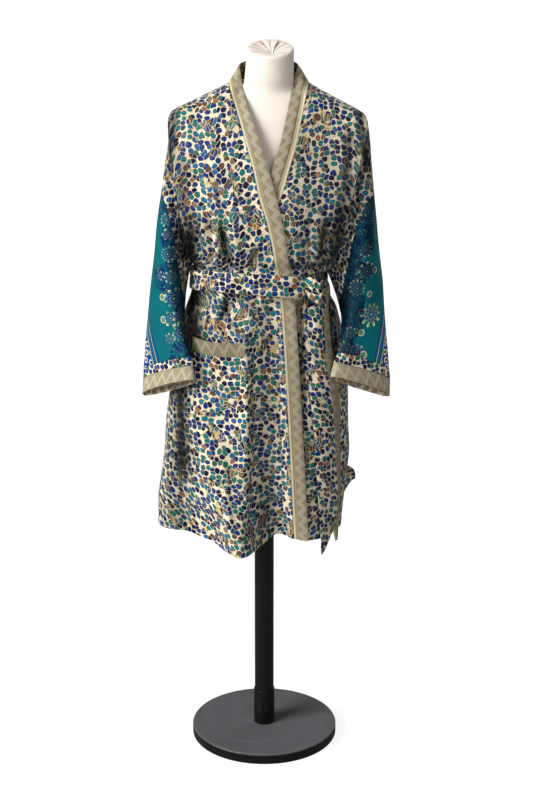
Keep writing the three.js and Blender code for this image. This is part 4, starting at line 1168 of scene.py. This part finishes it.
PRINT = printed_cloth("printed_cloth")
PRINT_REVERSE = printed_cloth("printed_cloth_reverse", reverse=True)
COLLAR_LINING = printed_cloth("collar_lining", lining=True)
STRIP_PRINT = printed_cloth("strip_print", spots=92.0, scraps=0.0)
# Flower heads of each sleeve: round it from its top line, down it, radius, petals, how pointed, tip
# colour, and 1 for an open ring.
PLUM, SEA, LIME, BLUE = "5a5f9a", "1b7f86", "a3b266", "2a6fa8"
HEADS_RIGHT = [
    (78, 215, 11, 10, 0.08, SEA, 0), (83, 246, 10, 6, 0.16, PLUM, 0), (84, 286, 14, 13, 0.05, SEA, 0),
    (91, 334, 11, 8, 0.1, SEA, 0), (64, 333, 8, 6, 0.14, PLUM, 0), (98, 379, 16, 9, 0.14, BLUE, 0),
    (72, 377, 7.5, 8, 0.06, SEA, 1), (74, 424, 8, 8, 0.06, SEA, 1), (92, 419, 13, 6, 0.2, SEA, 0),
    (112, 415, 12, 7, 0.14, PLUM, 0), (113, 449, 15, 10, 0.12, SEA, 0), (90, 462, 9, 7, 0.12, SEA, 0),
]
HEADS_LEFT = [
    (83, 190, 14, 11, 0.08, SEA, 0), (80, 277, 12, 9, 0.08, SEA, 0), (76, 322, 15, 8, 0.14, SEA, 0),
    (56, 322, 7, 8, 0.06, SEA, 1), (97, 357, 15, 12, 0.06, SEA, 0), (69, 371, 7, 8, 0.06, SEA, 1),
    (61, 415, 19, 10, 0.26, LIME, 0), (108, 450, 10, 8, 0.1, SEA, 0), (84, 451, 8, 8, 0.06, SEA, 1),
    (119, 484, 14, 9, 0.1, SEA, 0), (96, 487, 12, 7, 0.14, PLUM, 0), (80, 499, 9, 8, 0.06, SEA, 1),
]
# The two sleeves' cloths are one cloth with painted light and shade of their own: each has its leaves
# painted darker, and the one on the viewer's right is painted half as light again.
TEAL_RIGHT = teal_cloth("teal_flower_cloth_right", PRINT_AT["sleeve_right"], HEADS_RIGHT, 1.0, 0.85)
TEAL_LEFT = teal_cloth("teal_flower_cloth_left", PRINT_AT["sleeve_left"], HEADS_LEFT, 1.5, 0.42)
NECK_TRIM = trim_band("neck_trim", 27.0, 6.2, "90826a", "b6b09c", 0.55)
CUFF_TRIM = trim_band("cuff_trim", 38.0, 4.0, "a69a7f", "cfc8b4", 0.7)
POCKET_TRIM = trim_band("pocket_trim", 38.0, 4.0, "7d735d", "a09880", 0.4)
JERSEY = jersey_cloth()
METAL = stand_metal("stand_metal")
DISC_METAL = stand_metal("disc_metal", painted_reflection_top=True)


# ---------- the garment's pieces ----------
# Each cut piece as it lies flat: width and length in metres, area in square metres, how it is held,
# and what it hangs from or lies on.
CUTS = {
    "front_right": (0.43, 1.025, 0.262, "draped", ["dress_form"]),
    "front_left": (0.315, 1.045, 0.228, "draped", ["dress_form"]),
    "back": (0.67, 1.017, 0.404, "draped", ["dress_form"]),
    "neckband_right": (0.047, 1.056, 0.033, "hung", ["front_right"]),
    "neckband_left": (0.051, 1.075, 0.04, "hung", ["front_left"]),
    "neckband_back": (0.044, 0.22, 0.0084, "hung", ["back"]),
    "sleeve_right_upper": (0.81, 0.165, 0.0462, "hung", ["front_right", "back"]),
    "sleeve_right_lower": (0.605, 0.38, 0.0775, "hung", ["sleeve_right_upper"]),
    "sleeve_right_strip": (0.31, 0.023, 0.0059, "hung", ["sleeve_right_lower"]),
    "sleeve_right_cuff": (0.323, 0.034, 0.0096, "hung", ["sleeve_right_strip"]),
    "sleeve_left_upper": (0.845, 0.165, 0.0526, "hung", ["front_left", "back"]),
    "sleeve_left_lower": (0.63, 0.385, 0.0823, "hung", ["sleeve_left_upper"]),
    "sleeve_left_strip": (0.32, 0.023, 0.0063, "hung", ["sleeve_left_lower"]),
    "sleeve_left_cuff": (0.336, 0.036, 0.0104, "hung", ["sleeve_left_strip"]),
    "pocket": (0.121, 0.126, 0.0145, "laid", ["front_right"]),
    "pocket_band": (0.125, 0.031, 0.0037, "laid", ["front_right"]),
    "belt_waist": (0.83, 0.049, 0.0356, "draped", ["dress_form"]),
    "belt_tail_print": (0.053, 0.583, 0.0264, "hung", ["belt_knot"]),
    "belt_tail_trim": (0.05, 0.583, 0.0242, "hung", ["belt_knot"]),
}


def finish_piece(made, node, slot):
    """Hangs a piece on the frame's root and hides the node it stands for; slot is not used."""
    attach(made, "root")
    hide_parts(node)
    if node in CUTS:
        width, length, area, held, rests_on = CUTS[node]
        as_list(rests_on)
    return made


def row_heights(armhole, low_count, high_count):
    """Heights of a panel's rows: even up to the underarm, then closer at both ends of the armhole."""
    below = mix(HEM_Z, armhole, np.arange(low_count) / low_count)
    rest = (1 - np.cos(math.pi * np.arange(high_count + 1) / high_count)) / 2
    return np.concatenate([below, armhole + (NECK_Z - armhole) * rest])


def arm_inset(armhole, rows):
    return ARM_INSET * ease(armhole, armhole + ARM_INSET_RISE, rows)


def drape(points, normals, amount=1.0):
    """Soft unevenness of hanging silk: long waves down the cloth, shorter ones across it."""
    z = points[..., 2]
    waves = 1.1 * soft_noise(points, (34, 60, 150)) + 0.5 * soft_noise(points + 500, (13, 30, 48))
    calm = ease(*DRAPE_FADE, z)
    return points + normals * (waves * amount * calm)[..., None]


def hem_turn(points, normals, rows):
    """The turned hem stands proud of the cloth by its own thickness."""
    top = HEM_Z + HEM_TURN
    extra = HEM_PROUD * ease(top + 1.5, top - 1.5, rows)
    return points + normals * extra[None, :, None]


def front_panel(over):
    """One front: the one that laps over, on the viewer's left, or the one underneath."""
    armhole = ARM_LEFT_Z if over else ARM_RIGHT_Z
    edge = OVER_EDGE if over else UNDER_EDGE
    name = "front_right" if over else "front_left"
    rows = row_heights(armhole, 130, 84)
    share = shares(150 if over else 128)[:, None]
    end = angle_at(read(edge, "z", "outer", rows), rows)
    inset = arm_inset(armhole, rows)
    turn = mix(inset if over else math.pi - inset, end, share)
    points = body_point(turn, np.broadcast_to(rows, turn.shape), False, over)
    points[..., 1] -= SEAM / 2
    sign = 1 if over else -1
    normals = grid_normals(points, False, sign)
    free = ease(0, 0.05, share) * ease(1, 0.95, share)
    creases = crease_out(BODICE_CREASES, points)
    creases = creases + crease_out(SKIRT_CREASES if over else UNDER_CREASES, points)
    if over:
        creases = creases + long_fold_out(points)
    points = points + normals * (creases * free)[..., None]
    points = mix(points, drape(points, normals), free[..., None])
    points = hem_turn(points, normals, rows)
    flat = cloth_flat(points, -1, sign) + np.array([PRINT_AT[name], 0])
    # painted shade in the folds and under the arm, kept at the points as the value deep
    deep = painted_fold_shade(PAINTED_SHADE_BODY, points)
    made = shell(name + "_cloth", points, WALL, flat, PRINT, PRINT_REVERSE, sign=sign, places=deep)
    return finish_piece(made, name, "printed_cloth")


def back_panel():
    columns = 150
    rows = row_heights(ARM_BACK_Z, 110, 66)
    share = shares(columns)[:, None]
    inset = arm_inset(ARM_BACK_Z, rows)
    turn = mix(inset, math.pi - inset, share)
    points = body_point(turn, np.broadcast_to(rows, turn.shape), True)
    points[..., 1] += SEAM / 2
    normals = grid_normals(points, False, -1)
    free = ease(0, 0.05, share) * ease(1, 0.95, share)
    points = points + normals * (crease_out(BACK_CREASES, points) * free)[..., None]
    points = mix(points, drape(points, normals, 1.3), free[..., None])
    points = hem_turn(points, normals, rows)
    flat = cloth_flat(points, columns // 2) + np.array([PRINT_AT["back"], 0])
    made = shell("back_cloth", points, WALL, flat, PRINT, PRINT_REVERSE, sign=-1)
    return finish_piece(made, "back", "printed_cloth")


def sleeve_flat(rings, points):
    """Print coordinates of a sleeve: sideways from its top line, and down that line."""
    line = sleeve_point(rings, np.linspace(0, 1, 120), np.zeros(120))
    down = np.interp(points[..., 2], line[::-1, 2], arc(line, 0)[::-1])
    step = np.hypot(*np.moveaxis(np.diff(points[..., :2], axis=0), -1, 0))
    beside = np.concatenate([np.zeros_like(step[:1]), np.cumsum(step, axis=0)])
    return beside - beside[len(beside) // 2], down


# Where the scrolling leaves begin on a sleeve's front: how far down it, and how far from its top line.
LEAVES_FROM = {
    True: {"v": [150, 205, 225, 250, 275, 300, 318, 350, 370, 400, 430, 455, 470, 490, 560],
           "u": [30, 40, 74, 62, 74, 78, 50, 40, 78, 98, 110, 108, 98, 90, 84]},
    False: {"v": [130, 180, 200, 240, 262, 285, 296, 308, 322, 340, 360, 385, 430, 450, 470, 484, 500, 560],
            "u": [30, 35, 60, 55, 55, 62, 92, 62, 50, 72, 86, 78, 78, 84, 102, 92, 80, 76]},
}
# The border across each sleeve's outer corner: how far down it starts, and its slope.
SLEEVE_CORNER = {True: (390, 0.44), False: (368, 0.32)}


def sleeve_places(left, u, v):
    """How far the leaves cover a sleeve's front, and how far inside its corner border each point is."""
    behind_share, far_off = 0.6, -50
    start = read(LEAVES_FROM[left], "v", "u", v)
    bloom = mix(behind_share, ease(start - 7, start + 7, u), ease(-6, 6, u))
    corner_at, slope = SLEEVE_CORNER[left]
    corner = np.where(u > -30, (v - corner_at) * slope - np.abs(u), far_off)
    return {"bloom": bloom, "corner": corner * MM}


def sleeve_normals(rings, t, turn, sign):
    step_turn, step_t = 0.05, 0.012
    around = sleeve_point(rings, t, turn + step_turn) - sleeve_point(rings, t, turn - step_turn)
    below = sleeve_point(rings, np.clip(t + step_t, 0, 1), turn)
    above = sleeve_point(rings, np.clip(t - step_t, 0, 1), turn)
    return unit(np.cross(around, below - above)) * sign


def sleeve_tube(left, part, first, last, count, wall, face, slot):
    """One cloth of a sleeve, all round it, between two shares of the sleeve's length."""
    rings = SLEEVE_LEFT if left else SLEEVE_RIGHT
    side = "right" if left else "left"
    around = 132
    rows = mix(first, last, shares(count))[None, :]
    turn = math.pi + TAU * np.arange(around)[:, None] / around
    points = sleeve_point(rings, rows, turn)
    normals = sleeve_normals(rings, rows, turn, -1 if left else 1)
    free = ease(0.0, 0.12, rows) * ease(1.0, 0.9, rows)
    points = mix(points, drape(points, normals, 1.2), free[..., None])
    joined = np.concatenate([points, points[:1]])
    if slot == "trim_band":
        places = {}
        flat = stack(arc(joined, 0), arc(joined, 1) + BORDER_FROM)
    else:
        u, v = sleeve_flat(rings, joined)
        flat = stack(u + PRINT_AT["sleeve_" + side], v)
        # painted shade in the folds and under the arm, kept at the points as the value deep
        places = painted_fold_shade(PAINTED_SHADE_SLEEVE if slot == "printed_cloth" else PAINTED_SHADE_TEAL, points)
    if slot == "teal_cloth":
        places.update(sleeve_places(left, u[:-1], v[:-1]))
    name = f"sleeve_{side}_{part}"
    made = shell(name + "_cloth", points, wall, flat, face, PRINT_REVERSE, shut=True, normals=normals,
                 places=places)
    return finish_piece(made, name, slot)


def band_point(edge, height, share, over):
    """The neckband from its seam, at share 0, to its free edge, which stands up beside the neck."""
    outer_x = read(edge, "z", "outer", height)
    inner_x = read(edge, "z", "inner", height)
    rise = read(edge, "z", "rise", height)
    outer = body_point(angle_at(outer_x, height), height, False, over)
    inner = body_point(angle_at(inner_x, height), height, False, over)
    high = ease(*BAND_LEAVES, height)
    stand = read(STAND_OFF, "z", "y", height)
    depth = read(FRONT, "z", "out", np.minimum(height + rise, NECK_Z))
    if over:
        depth = depth + LAP * ease(*LAP_FADE, height)
    top = ease(BAND_CLOSES, NECK_Z, height)
    front_y = mix(MID_Y - depth - stand, MID_Y - NECK_DEPTH * (1 - top), top)
    inner = stack(inner_x, mix(inner[..., 1], front_y, high), inner[..., 2] + rise)
    return mix(outer, inner, np.asarray(share)[..., None])


def neck_band(over):
    """The border band down one front edge."""
    edge = OVER_EDGE if over else UNDER_EDGE
    armhole = ARM_LEFT_Z if over else ARM_RIGHT_Z
    name = "neckband_right" if over else "neckband_left"
    rows = row_heights(armhole, 120, 90)
    share = shares(18)[:, None]
    start = 1.0 / np.abs(read(edge, "z", "inner", rows) - read(edge, "z", "outer", rows))
    height = np.broadcast_to(rows, (len(share), len(rows)))
    points = band_point(edge, height, mix(start, 1, share), over)
    points[..., 1] -= SEAM / 2
    sign = 1 if over else -1
    normals = grid_normals(points, False, sign)
    # the band is a folded strip: full along its middle, with a line of stitching near the body
    stitched_at = 0.28
    roll = 1.1 * np.sin(math.pi * np.clip((share - stitched_at) / (1 - stitched_at), 0, 1)) ** 0.6
    ditch = -0.8 * hump((share - stitched_at) / 0.05)
    points = points + normals * (roll + ditch + 0.4 * soft_noise(points, (30, 30, 40)))[..., None]
    over_band = arc(points, 0)
    flat = stack(arc(points, 1), BORDER_WIDE * (1 - over_band / over_band[-1:]))
    made = shell(name + "_cloth", points, BAND_WALL, flat, NECK_TRIM, COLLAR_LINING, sign=sign)
    return finish_piece(made, name, "trim_band")


def collar_back():
    """The border band behind the neck, from the end of one front band to the other's."""
    turn = math.pi * shares(90)
    low_y = MID_Y + BACK["out"][-1] * np.sin(turn)
    low = stack(NECK_MID_X - NECK_HALF * np.cos(turn), low_y, np.full_like(turn, NECK_Z + 1))
    high_x = mix(OVER_EDGE["inner"][-1], UNDER_EDGE["inner"][-1], (1 - np.cos(turn)) / 2)
    high_z = NECK_Z + OVER_EDGE["rise"][-1] + COLLAR_CROWN * np.sin(turn)
    high = stack(high_x, MID_Y + COLLAR_BACK * np.sin(turn), high_z)
    points = mix(low[None], high[None], shares(16)[:, None, None])
    points[..., 1] += SEAM / 2
    over_band = arc(points, 0)
    flat = stack(arc(points, 1), over_band[-1:] - over_band)
    made = shell("neckband_back_cloth", points, BAND_WALL, flat, NECK_TRIM, COLLAR_LINING, sign=1)
    return finish_piece(made, "neckband_back", "trim_band")


def patch(node, low, high, rows, away, wall, face, slot):
    """The pocket, or the border across its top, a little off the front."""
    u = shares(60)[:, None]
    x = mix(POCKET["left"], POCKET["right"], u)
    height = mix(low, high, shares(rows))[None, :]
    x, height = np.broadcast_arrays(x, height)
    points = body_point(angle_at(x, height), height, False, True)
    normals = grid_normals(points, False, 1)
    points = points + normals * crease_out(SKIRT_CREASES, points)[..., None]
    middle = np.sin(math.pi * u)
    slack = POCKET_SLACK * middle * ease(POCKET["top"] - 70, POCKET["top"], height)
    points = points + normals * (away + slack)[..., None]
    points[..., 2] -= POCKET_SAG * middle * ease(POCKET["top"] - 80, POCKET["top"], height)
    points = points + normals * (0.5 * soft_noise(points, (20, 30, 30)))[..., None]
    if slot == "trim_band":
        flat = stack(arc(points, 0), arc(points, 1) + BORDER_FROM)
    else:
        flat = stack(arc(points, 0) + PRINT_AT["pocket"], arc(points, 1))
    made = shell(node + "_cloth", points, wall, flat, face, PRINT_REVERSE, sign=1)
    return finish_piece(made, node, slot)


def belt_edge(edge, behind, angle):
    """Height of the belt's low or top edge: from its table in front, and straight behind."""
    straight = mix(BELT[edge][0], BELT[edge][-1], angle / math.pi)
    return np.where(behind, straight, read(BELT, "angle", edge, angle))


def belt_point(turn, share):
    """The belt round the waist; turn goes over the front from 0 to pi and back behind."""
    behind = turn > math.pi
    angle = np.where(behind, TAU - turn, turn)
    height = mix(belt_edge("low", behind, angle), belt_edge("top", behind, angle), share)
    level = np.minimum(height, BELT_LEVEL)
    left = angle < math.pi / 2
    front_x = side_point(left, level, False)[0]
    back_x = side_point(left, level, True)[0]
    reach = np.abs(np.where(behind, back_x, front_x) - MID_X) + BELT_OFF_SIDE
    back_deep = read(BACK, "z", "out", level) + BELT_OFF_BACK
    deep = np.where(behind, back_deep, read(FRONT, "z", "out", level) + LAP + BELT_OFF_FRONT)
    x = MID_X + np.where(left, -1, 1) * reach * np.abs(np.cos(angle))
    y = deep * across(angle) ** SIDE_POWER
    return stack(x, MID_Y + np.where(behind, y, -y), height)


def belt_waist(tie):
    """The belt round the waist, with a long crease and small pleats that run into the knot."""
    pleats_at = 2.25
    share = shares(22)[None, :]
    whole_turn = TAU * shares(280)[:, None]
    turn = whole_turn[:-1]
    points = belt_point(turn, share)
    normals = grid_normals(points, True, 1)
    tight = hump((turn - KNOT_TURN) / 0.5)
    soft_fold = 1.6 * np.sin(TAU * (1.5 * share + 0.25 * np.sin(turn * 1.7))) * (0.6 + tight)
    off_crease = share - 0.55 - 0.12 * np.sin(2.3 * turn)
    crease = -2.2 * hump(off_crease / 0.06)
    swell = 1.5 * np.sin(math.pi * share)
    points = points + normals * (swell + soft_fold + crease)[..., None]
    whole = belt_point(whole_turn, share)
    flat = stack(arc(whole, 0) + PRINT_AT["belt_waist"], arc(whole, 1))
    # painted shade along the crease, at both edges and between the pleats beside the knot
    edges = ease(0.14, 0.0, share) + ease(0.9, 1.0, share)
    deep = np.clip(0.45 * ease(0.3, 0.0, np.abs(off_crease) * 4) + 0.3 * edges, 0, 0.8)
    near_tie = hump((turn - pleats_at) / 0.5)
    pleats = np.abs(np.sin(9 * share + 7 * turn))
    deep = np.clip(deep + 0.5 * near_tie * ease(0.35, 0.0, pleats), 0, 0.8)
    made = shell("belt_waist_cloth", points, BAND_WALL, flat, PRINT, PRINT_REVERSE, shut=True, sign=1,
                 places={"deep": deep})
    return finish_piece(made, "belt_waist", "printed_cloth")


def tail(node, table, away, face, slot):
    """A hanging end of the belt, between the sides its table gives for each height."""
    low, high = table["z"][0], table["z"][-1]
    height = mix(low, high, shares(170))[None, :]
    share = shares(14)[:, None]
    x = mix(read(table, "z", "left", height), read(table, "z", "right", height), share)
    height = np.broadcast_to(height, x.shape)
    points = body_point(angle_at(x, height), height, False, True)
    normals = grid_normals(points, False, 1)
    lift = away + 9 * ease(990, high, height)
    curl = 2.2 * np.sin(math.pi * share) * ease(low, low + 200, height)
    ripple = 1.4 * np.sin(height / 34 + 2.4 * share) * ease(low, low + 60, height)
    points = points + normals * (lift + curl + ripple)[..., None]
    if slot == "trim_band":
        flat = stack(arc(points, 1), BORDER_WIDE - arc(points, 0))
    else:
        flat = stack(arc(points, 0) + PRINT_AT[node], arc(points, 1))
    made = shell(node + "_cloth", points, WALL, flat, face, PRINT_REVERSE, sign=1)
    return finish_piece(made, node, slot)


def knot():
    """The tie: cloth drawn together and twisted over itself."""
    base = belt_point(np.array(KNOT_TURN), np.array(0.5))
    ring_count, around = 70, 120
    rise = math.pi * (np.arange(1, ring_count) / ring_count)[:, None]
    a = TAU * np.arange(around)[None, :] / around
    twist = 1.5 * np.cos(rise)
    pleat = np.abs(np.sin(3.5 * (a + twist)))
    ripple = 0.92 + 0.14 * pleat + 0.04 * np.sin(5 * a + 4 * np.cos(rise))
    girth = np.sin(rise) ** 0.8 * ripple
    rings = stack(
        base[0] + 3 + KNOT_WIDE * girth * np.cos(a) + 7 * np.cos(rise),
        base[1] - 19 + KNOT_DEEP * girth * np.sin(a),
        base[2] - KNOT_HIGH * np.cos(rise),
    )
    x, y, z = np.moveaxis(rings, -1, 0)
    flat = stack(x + 0.6 * y + PRINT_AT["belt_knot"], z + 0.4 * x)
    # painted shade between the pleats, kept at the points as the value deep
    deep = 0.7 * ease(0.5, 0.05, pleat) * np.sin(rise)
    made = closed_rings("belt_knot_cloth", rings, PRINT, flat, deep)
    return finish_piece(made, "belt_knot", "printed_cloth")


# ---------- dress form and stand ----------
FORM_AROUND = 128
# The neck's cut top: its slope up to the back, the depth it runs over, and the hole the cloth goes into.
CAP_Z = 1505.0
CAP_RISE = 24.0
CAP_DEPTH = 92.0
CAP_HOLE = (17.0, -4.0)
# Rings of the cap: share of the way out from the hole, and how far above the rim.
CAP_RINGS = [
    (0.985, 2.4), (0.955, 3.9), (0.91, 4.6), (0.85, 4.9), (0.77, 4.7), (0.68, 4.1), (0.58, 3.2),
    (0.48, 2.0), (0.38, 0.6), (0.29, -1.0), (0.21, -2.8), (0.14, -5.0), (0.08, -8.0), (0.04, -11.0),
]
# Gathers of the cap: direction, half width and depth.
CAP_GATHERS = [
    (2.05, 0.085, 7.0), (1.05, 0.08, 6.4), (2.55, 0.12, 4.2), (0.6, 0.12, 3.0), (1.55, 0.1, 1.8),
    (3.0, 0.16, 2.0), (0.15, 0.15, 2.2), (3.7, 0.2, 1.2), (-0.7, 0.2, 1.2), (-1.6, 0.25, 0.8),
    (2.28, 0.06, 2.4), (0.85, 0.06, 1.6),
]


def form_ring(height, lift=0.0, rise=0.0):
    """One ring of the form, lifted in front and rising further to the back."""
    a = TAU * np.arange(FORM_AROUND) / FORM_AROUND
    c, s = np.cos(a), np.sin(a)
    left, right, front, back, power = (
        read(FORM, "z", column, height) for column in ("left", "right", "front", "back", "power")
    )
    centre = mix(4, 12, ease(1380, 1460, height))
    x = np.where(c < 0, centre - left, right - centre) * np.sign(c) * np.abs(c) ** (2 / power)
    y = np.where(s < 0, front, back) * np.sign(s) * np.abs(s) ** (2 / power)
    return stack(centre + x, y, height + lift + rise * (y / CAP_DEPTH + 0.5))


def cap_grooves():
    """Depth of the cap's gathers in each direction."""
    angle = TAU * np.arange(FORM_AROUND) / FORM_AROUND
    depth = np.zeros(FORM_AROUND)
    for at, wide, deep in CAP_GATHERS:
        depth += deep * hump(((angle - at + math.pi) % TAU - math.pi) / wide)
    return depth


def dress_form():
    """The limbless form; its jersey is gathered into a hole at the neck's top."""
    body = [np.linspace(POLE_TOP, 806, 4), np.linspace(812, 1380, 46), np.linspace(1386, 1504, 40)]
    rings = [form_ring(z) for z in np.concatenate(body)]
    rings.append(form_ring(CAP_Z, 6.0, 0.7 * CAP_RISE))
    rim = form_ring(CAP_Z, 7.0, CAP_RISE)
    rings.append(rim)
    shades = [np.zeros(FORM_AROUND)] * len(rings)
    grooves = cap_grooves()
    for share, lift in CAP_RINGS:
        ring = rim.copy()
        for k in (0, 1):
            ring[:, k] = mix(CAP_HOLE[k] * (1 - share) + rim[:, k].mean() * share, rim[:, k], share)
        ring[:, 2] = mix(rim[:, 2].mean(), rim[:, 2], share) + lift
        ring[:, 2] -= grooves * math.sin(math.pi * min(1, share * 1.02)) ** 0.7
        rings.append(ring)
        # painted shade in the cap's gathers, kept at the points as the value deep
        shades.append(np.clip(0.15 * grooves, 0, 0.75) * ease(1.0, 0.8, share) * ease(0.0, 0.1, share))
    made = closed_rings("dress_form_jersey", np.stack(rings), JERSEY, deep=np.stack(shades))
    return finish_piece(made, "dress_form", "jersey")


def turned(node, profile, metal):
    """A turned piece of the stand; profile holds radius and height."""
    around = 160
    a = TAU * np.arange(around) / around
    rings = np.stack([stack(r * np.cos(a), r * np.sin(a), np.full_like(a, z)) for r, z in profile])
    made = closed_rings(node + "_metal", rings, metal)
    return finish_piece(made, node, "black_stand")


def rounded(radius, corner, z, up):
    """Profile points of a rounded edge whose top is at height z, or whose underside is."""
    steps = 6
    points = []
    for k in range(steps + 1):
        a = math.pi / 2 * k / steps
        if up:
            points.append((radius - corner * (1 - math.cos(a)), z - corner * (1 - math.sin(a))))
        else:
            points.append((radius - corner * (1 - math.sin(a)), z + corner * (1 - math.cos(a))))
    return points


def make_stand():
    disc = [(60, 0), (DISC_RADIUS - 10, 0)] + rounded(DISC_RADIUS, 3, 0, False)
    disc += rounded(DISC_RADIUS, DISC_EDGE, DISC_TOP, True)
    disc += [(DISC_RADIUS - 20, DISC_TOP), (60, DISC_TOP)]
    turned("base_disc", disc, DISC_METAL)
    socket = [(SOCKET_RADIUS - 1, DISC_TOP)]
    socket += [(SOCKET_RADIUS, height) for height in (DISC_TOP + 1, 60, SOCKET_TOP - 3)]
    socket += rounded(SOCKET_RADIUS, 1.6, SOCKET_TOP, True) + [(POLE_RADIUS - 0.5, SOCKET_TOP)]
    turned("pole_socket", socket, METAL)
    turned("pole", [(POLE_RADIUS, height) for height in (SOCKET_TOP, 300, 500, 700, POLE_TOP)], METAL)


def make_camera():
    looks_down = 18.58948
    data = bpy.data.cameras.new("camera")
    data.lens = 89.37
    data.sensor_width = 36.0
    camera = bpy.data.objects.new("camera", data)
    camera.location = (0.005, -4.0, 2.128)
    camera.rotation_euler = (math.radians(90 - looks_down), 0, 0)
    bpy.context.scene.collection.objects.link(camera)
    bpy.context.scene.camera = camera


def make_stage():
    mesh = bpy.data.meshes.new("floor")
    half = 30.0
    corners = [(-half, -half, 0), (half, -half, 0), (half, half, 0), (-half, half, 0)]
    mesh.from_pydata(corners, [], [(0, 1, 2, 3)])
    floor = bpy.data.objects.new("floor", mesh)
    floor.location = (0, 0, -0.0005)
    bpy.context.scene.collection.objects.link(floor)
    material, b, shader = start_material("studio_floor", Roughness=0.9, Specular_IOR_Level=0.1)
    spread = b.noise(b.node("ShaderNodeTexCoord").outputs["Object"], 1.2, 2.0)[0]
    b.feed(shader.inputs["Base Color"], b.blend(spread, colour("848484"), colour("8a8a8a")))
    shader.inputs["Emission Color"].default_value = (1, 1, 1, 1)
    seen = b.node("ShaderNodeLightPath").outputs["Is Camera Ray"]
    b.feed(shader.inputs["Emission Strength"], b.maths("MULTIPLY_ADD", seen, 0.8, 0.08))
    mesh.materials.append(material)


def make_light(name, place, power, spread):
    """A broad light from far off, aimed at the robe; spread is its apparent size in degrees."""
    data = bpy.data.lights.new(name, "SUN")
    data.energy = power
    data.angle = math.radians(spread)
    made = bpy.data.objects.new(name, data)
    made.location = place
    aim = np.array((0, 0, 1.0)) - np.array(place)
    made.rotation_euler = Vector(aim).to_track_quat("-Z", "Y").to_euler()
    bpy.context.scene.collection.objects.link(made)


def make_lights():
    world = bpy.data.worlds.new("studio")
    world.use_nodes = True
    bpy.context.scene.world = world
    b = Bench(world.node_tree)
    sky = world.node_tree.nodes["Background"]
    sky.inputs["Color"].default_value = (1, 1, 1, 1)
    seen = b.node("ShaderNodeLightPath").outputs["Is Camera Ray"]
    b.feed(sky.inputs["Strength"], b.maths("MULTIPLY_ADD", seen, 0.92, 0.08))
    make_light("key", (-4.0, -2.7, 3.8), 4.2, 34)
    make_light("fill", (0.9, -4.2, 2.0), 0.85, 44)
    make_light("behind", (2.6, 4.2, 2.6), 0.5, 30)
    bpy.context.scene.view_settings.view_transform = "Standard"


make_camera()
make_stage()
make_lights()
make_stand()
form = dress_form()
front_panel(True)
front_panel(False)
back_panel()
neck_band(True)
neck_band(False)
collar_back()
for left, teal in ((True, TEAL_RIGHT), (False, TEAL_LEFT)):
    seam_low, strip_low = SLEEVE_SEAM + SLEEVE_GAP, STRIP_TOP + STRIP_GAP
    sleeve_tube(left, "upper", SLEEVE_TOP, SLEEVE_SEAM - SLEEVE_GAP, 52, WALL, PRINT, "printed_cloth")
    sleeve_tube(left, "lower", seam_low, STRIP_TOP - STRIP_GAP, 100, WALL, teal, "teal_cloth")
    sleeve_tube(left, "strip", strip_low, CUFF_TOP - STRIP_GAP, 8, WALL, STRIP_PRINT, "printed_cloth")
    sleeve_tube(left, "cuff", CUFF_TOP + STRIP_GAP, 1, 14, BAND_WALL, CUFF_TRIM, "trim_band")
patch("pocket", POCKET["bottom"], POCKET["band"], 60, 3.0, WALL, PRINT, "printed_cloth")
patch("pocket_band", POCKET["band_low"], POCKET["top"], 12, 3.6, BAND_WALL, POCKET_TRIM, "trim_band")
belt_waist(knot())
tail("belt_tail_print", TAIL_PRINT, 6, PRINT, "printed_cloth")
tail("belt_tail_trim", TAIL_TRIM, 2.8, NECK_TRIM, "trim_band")
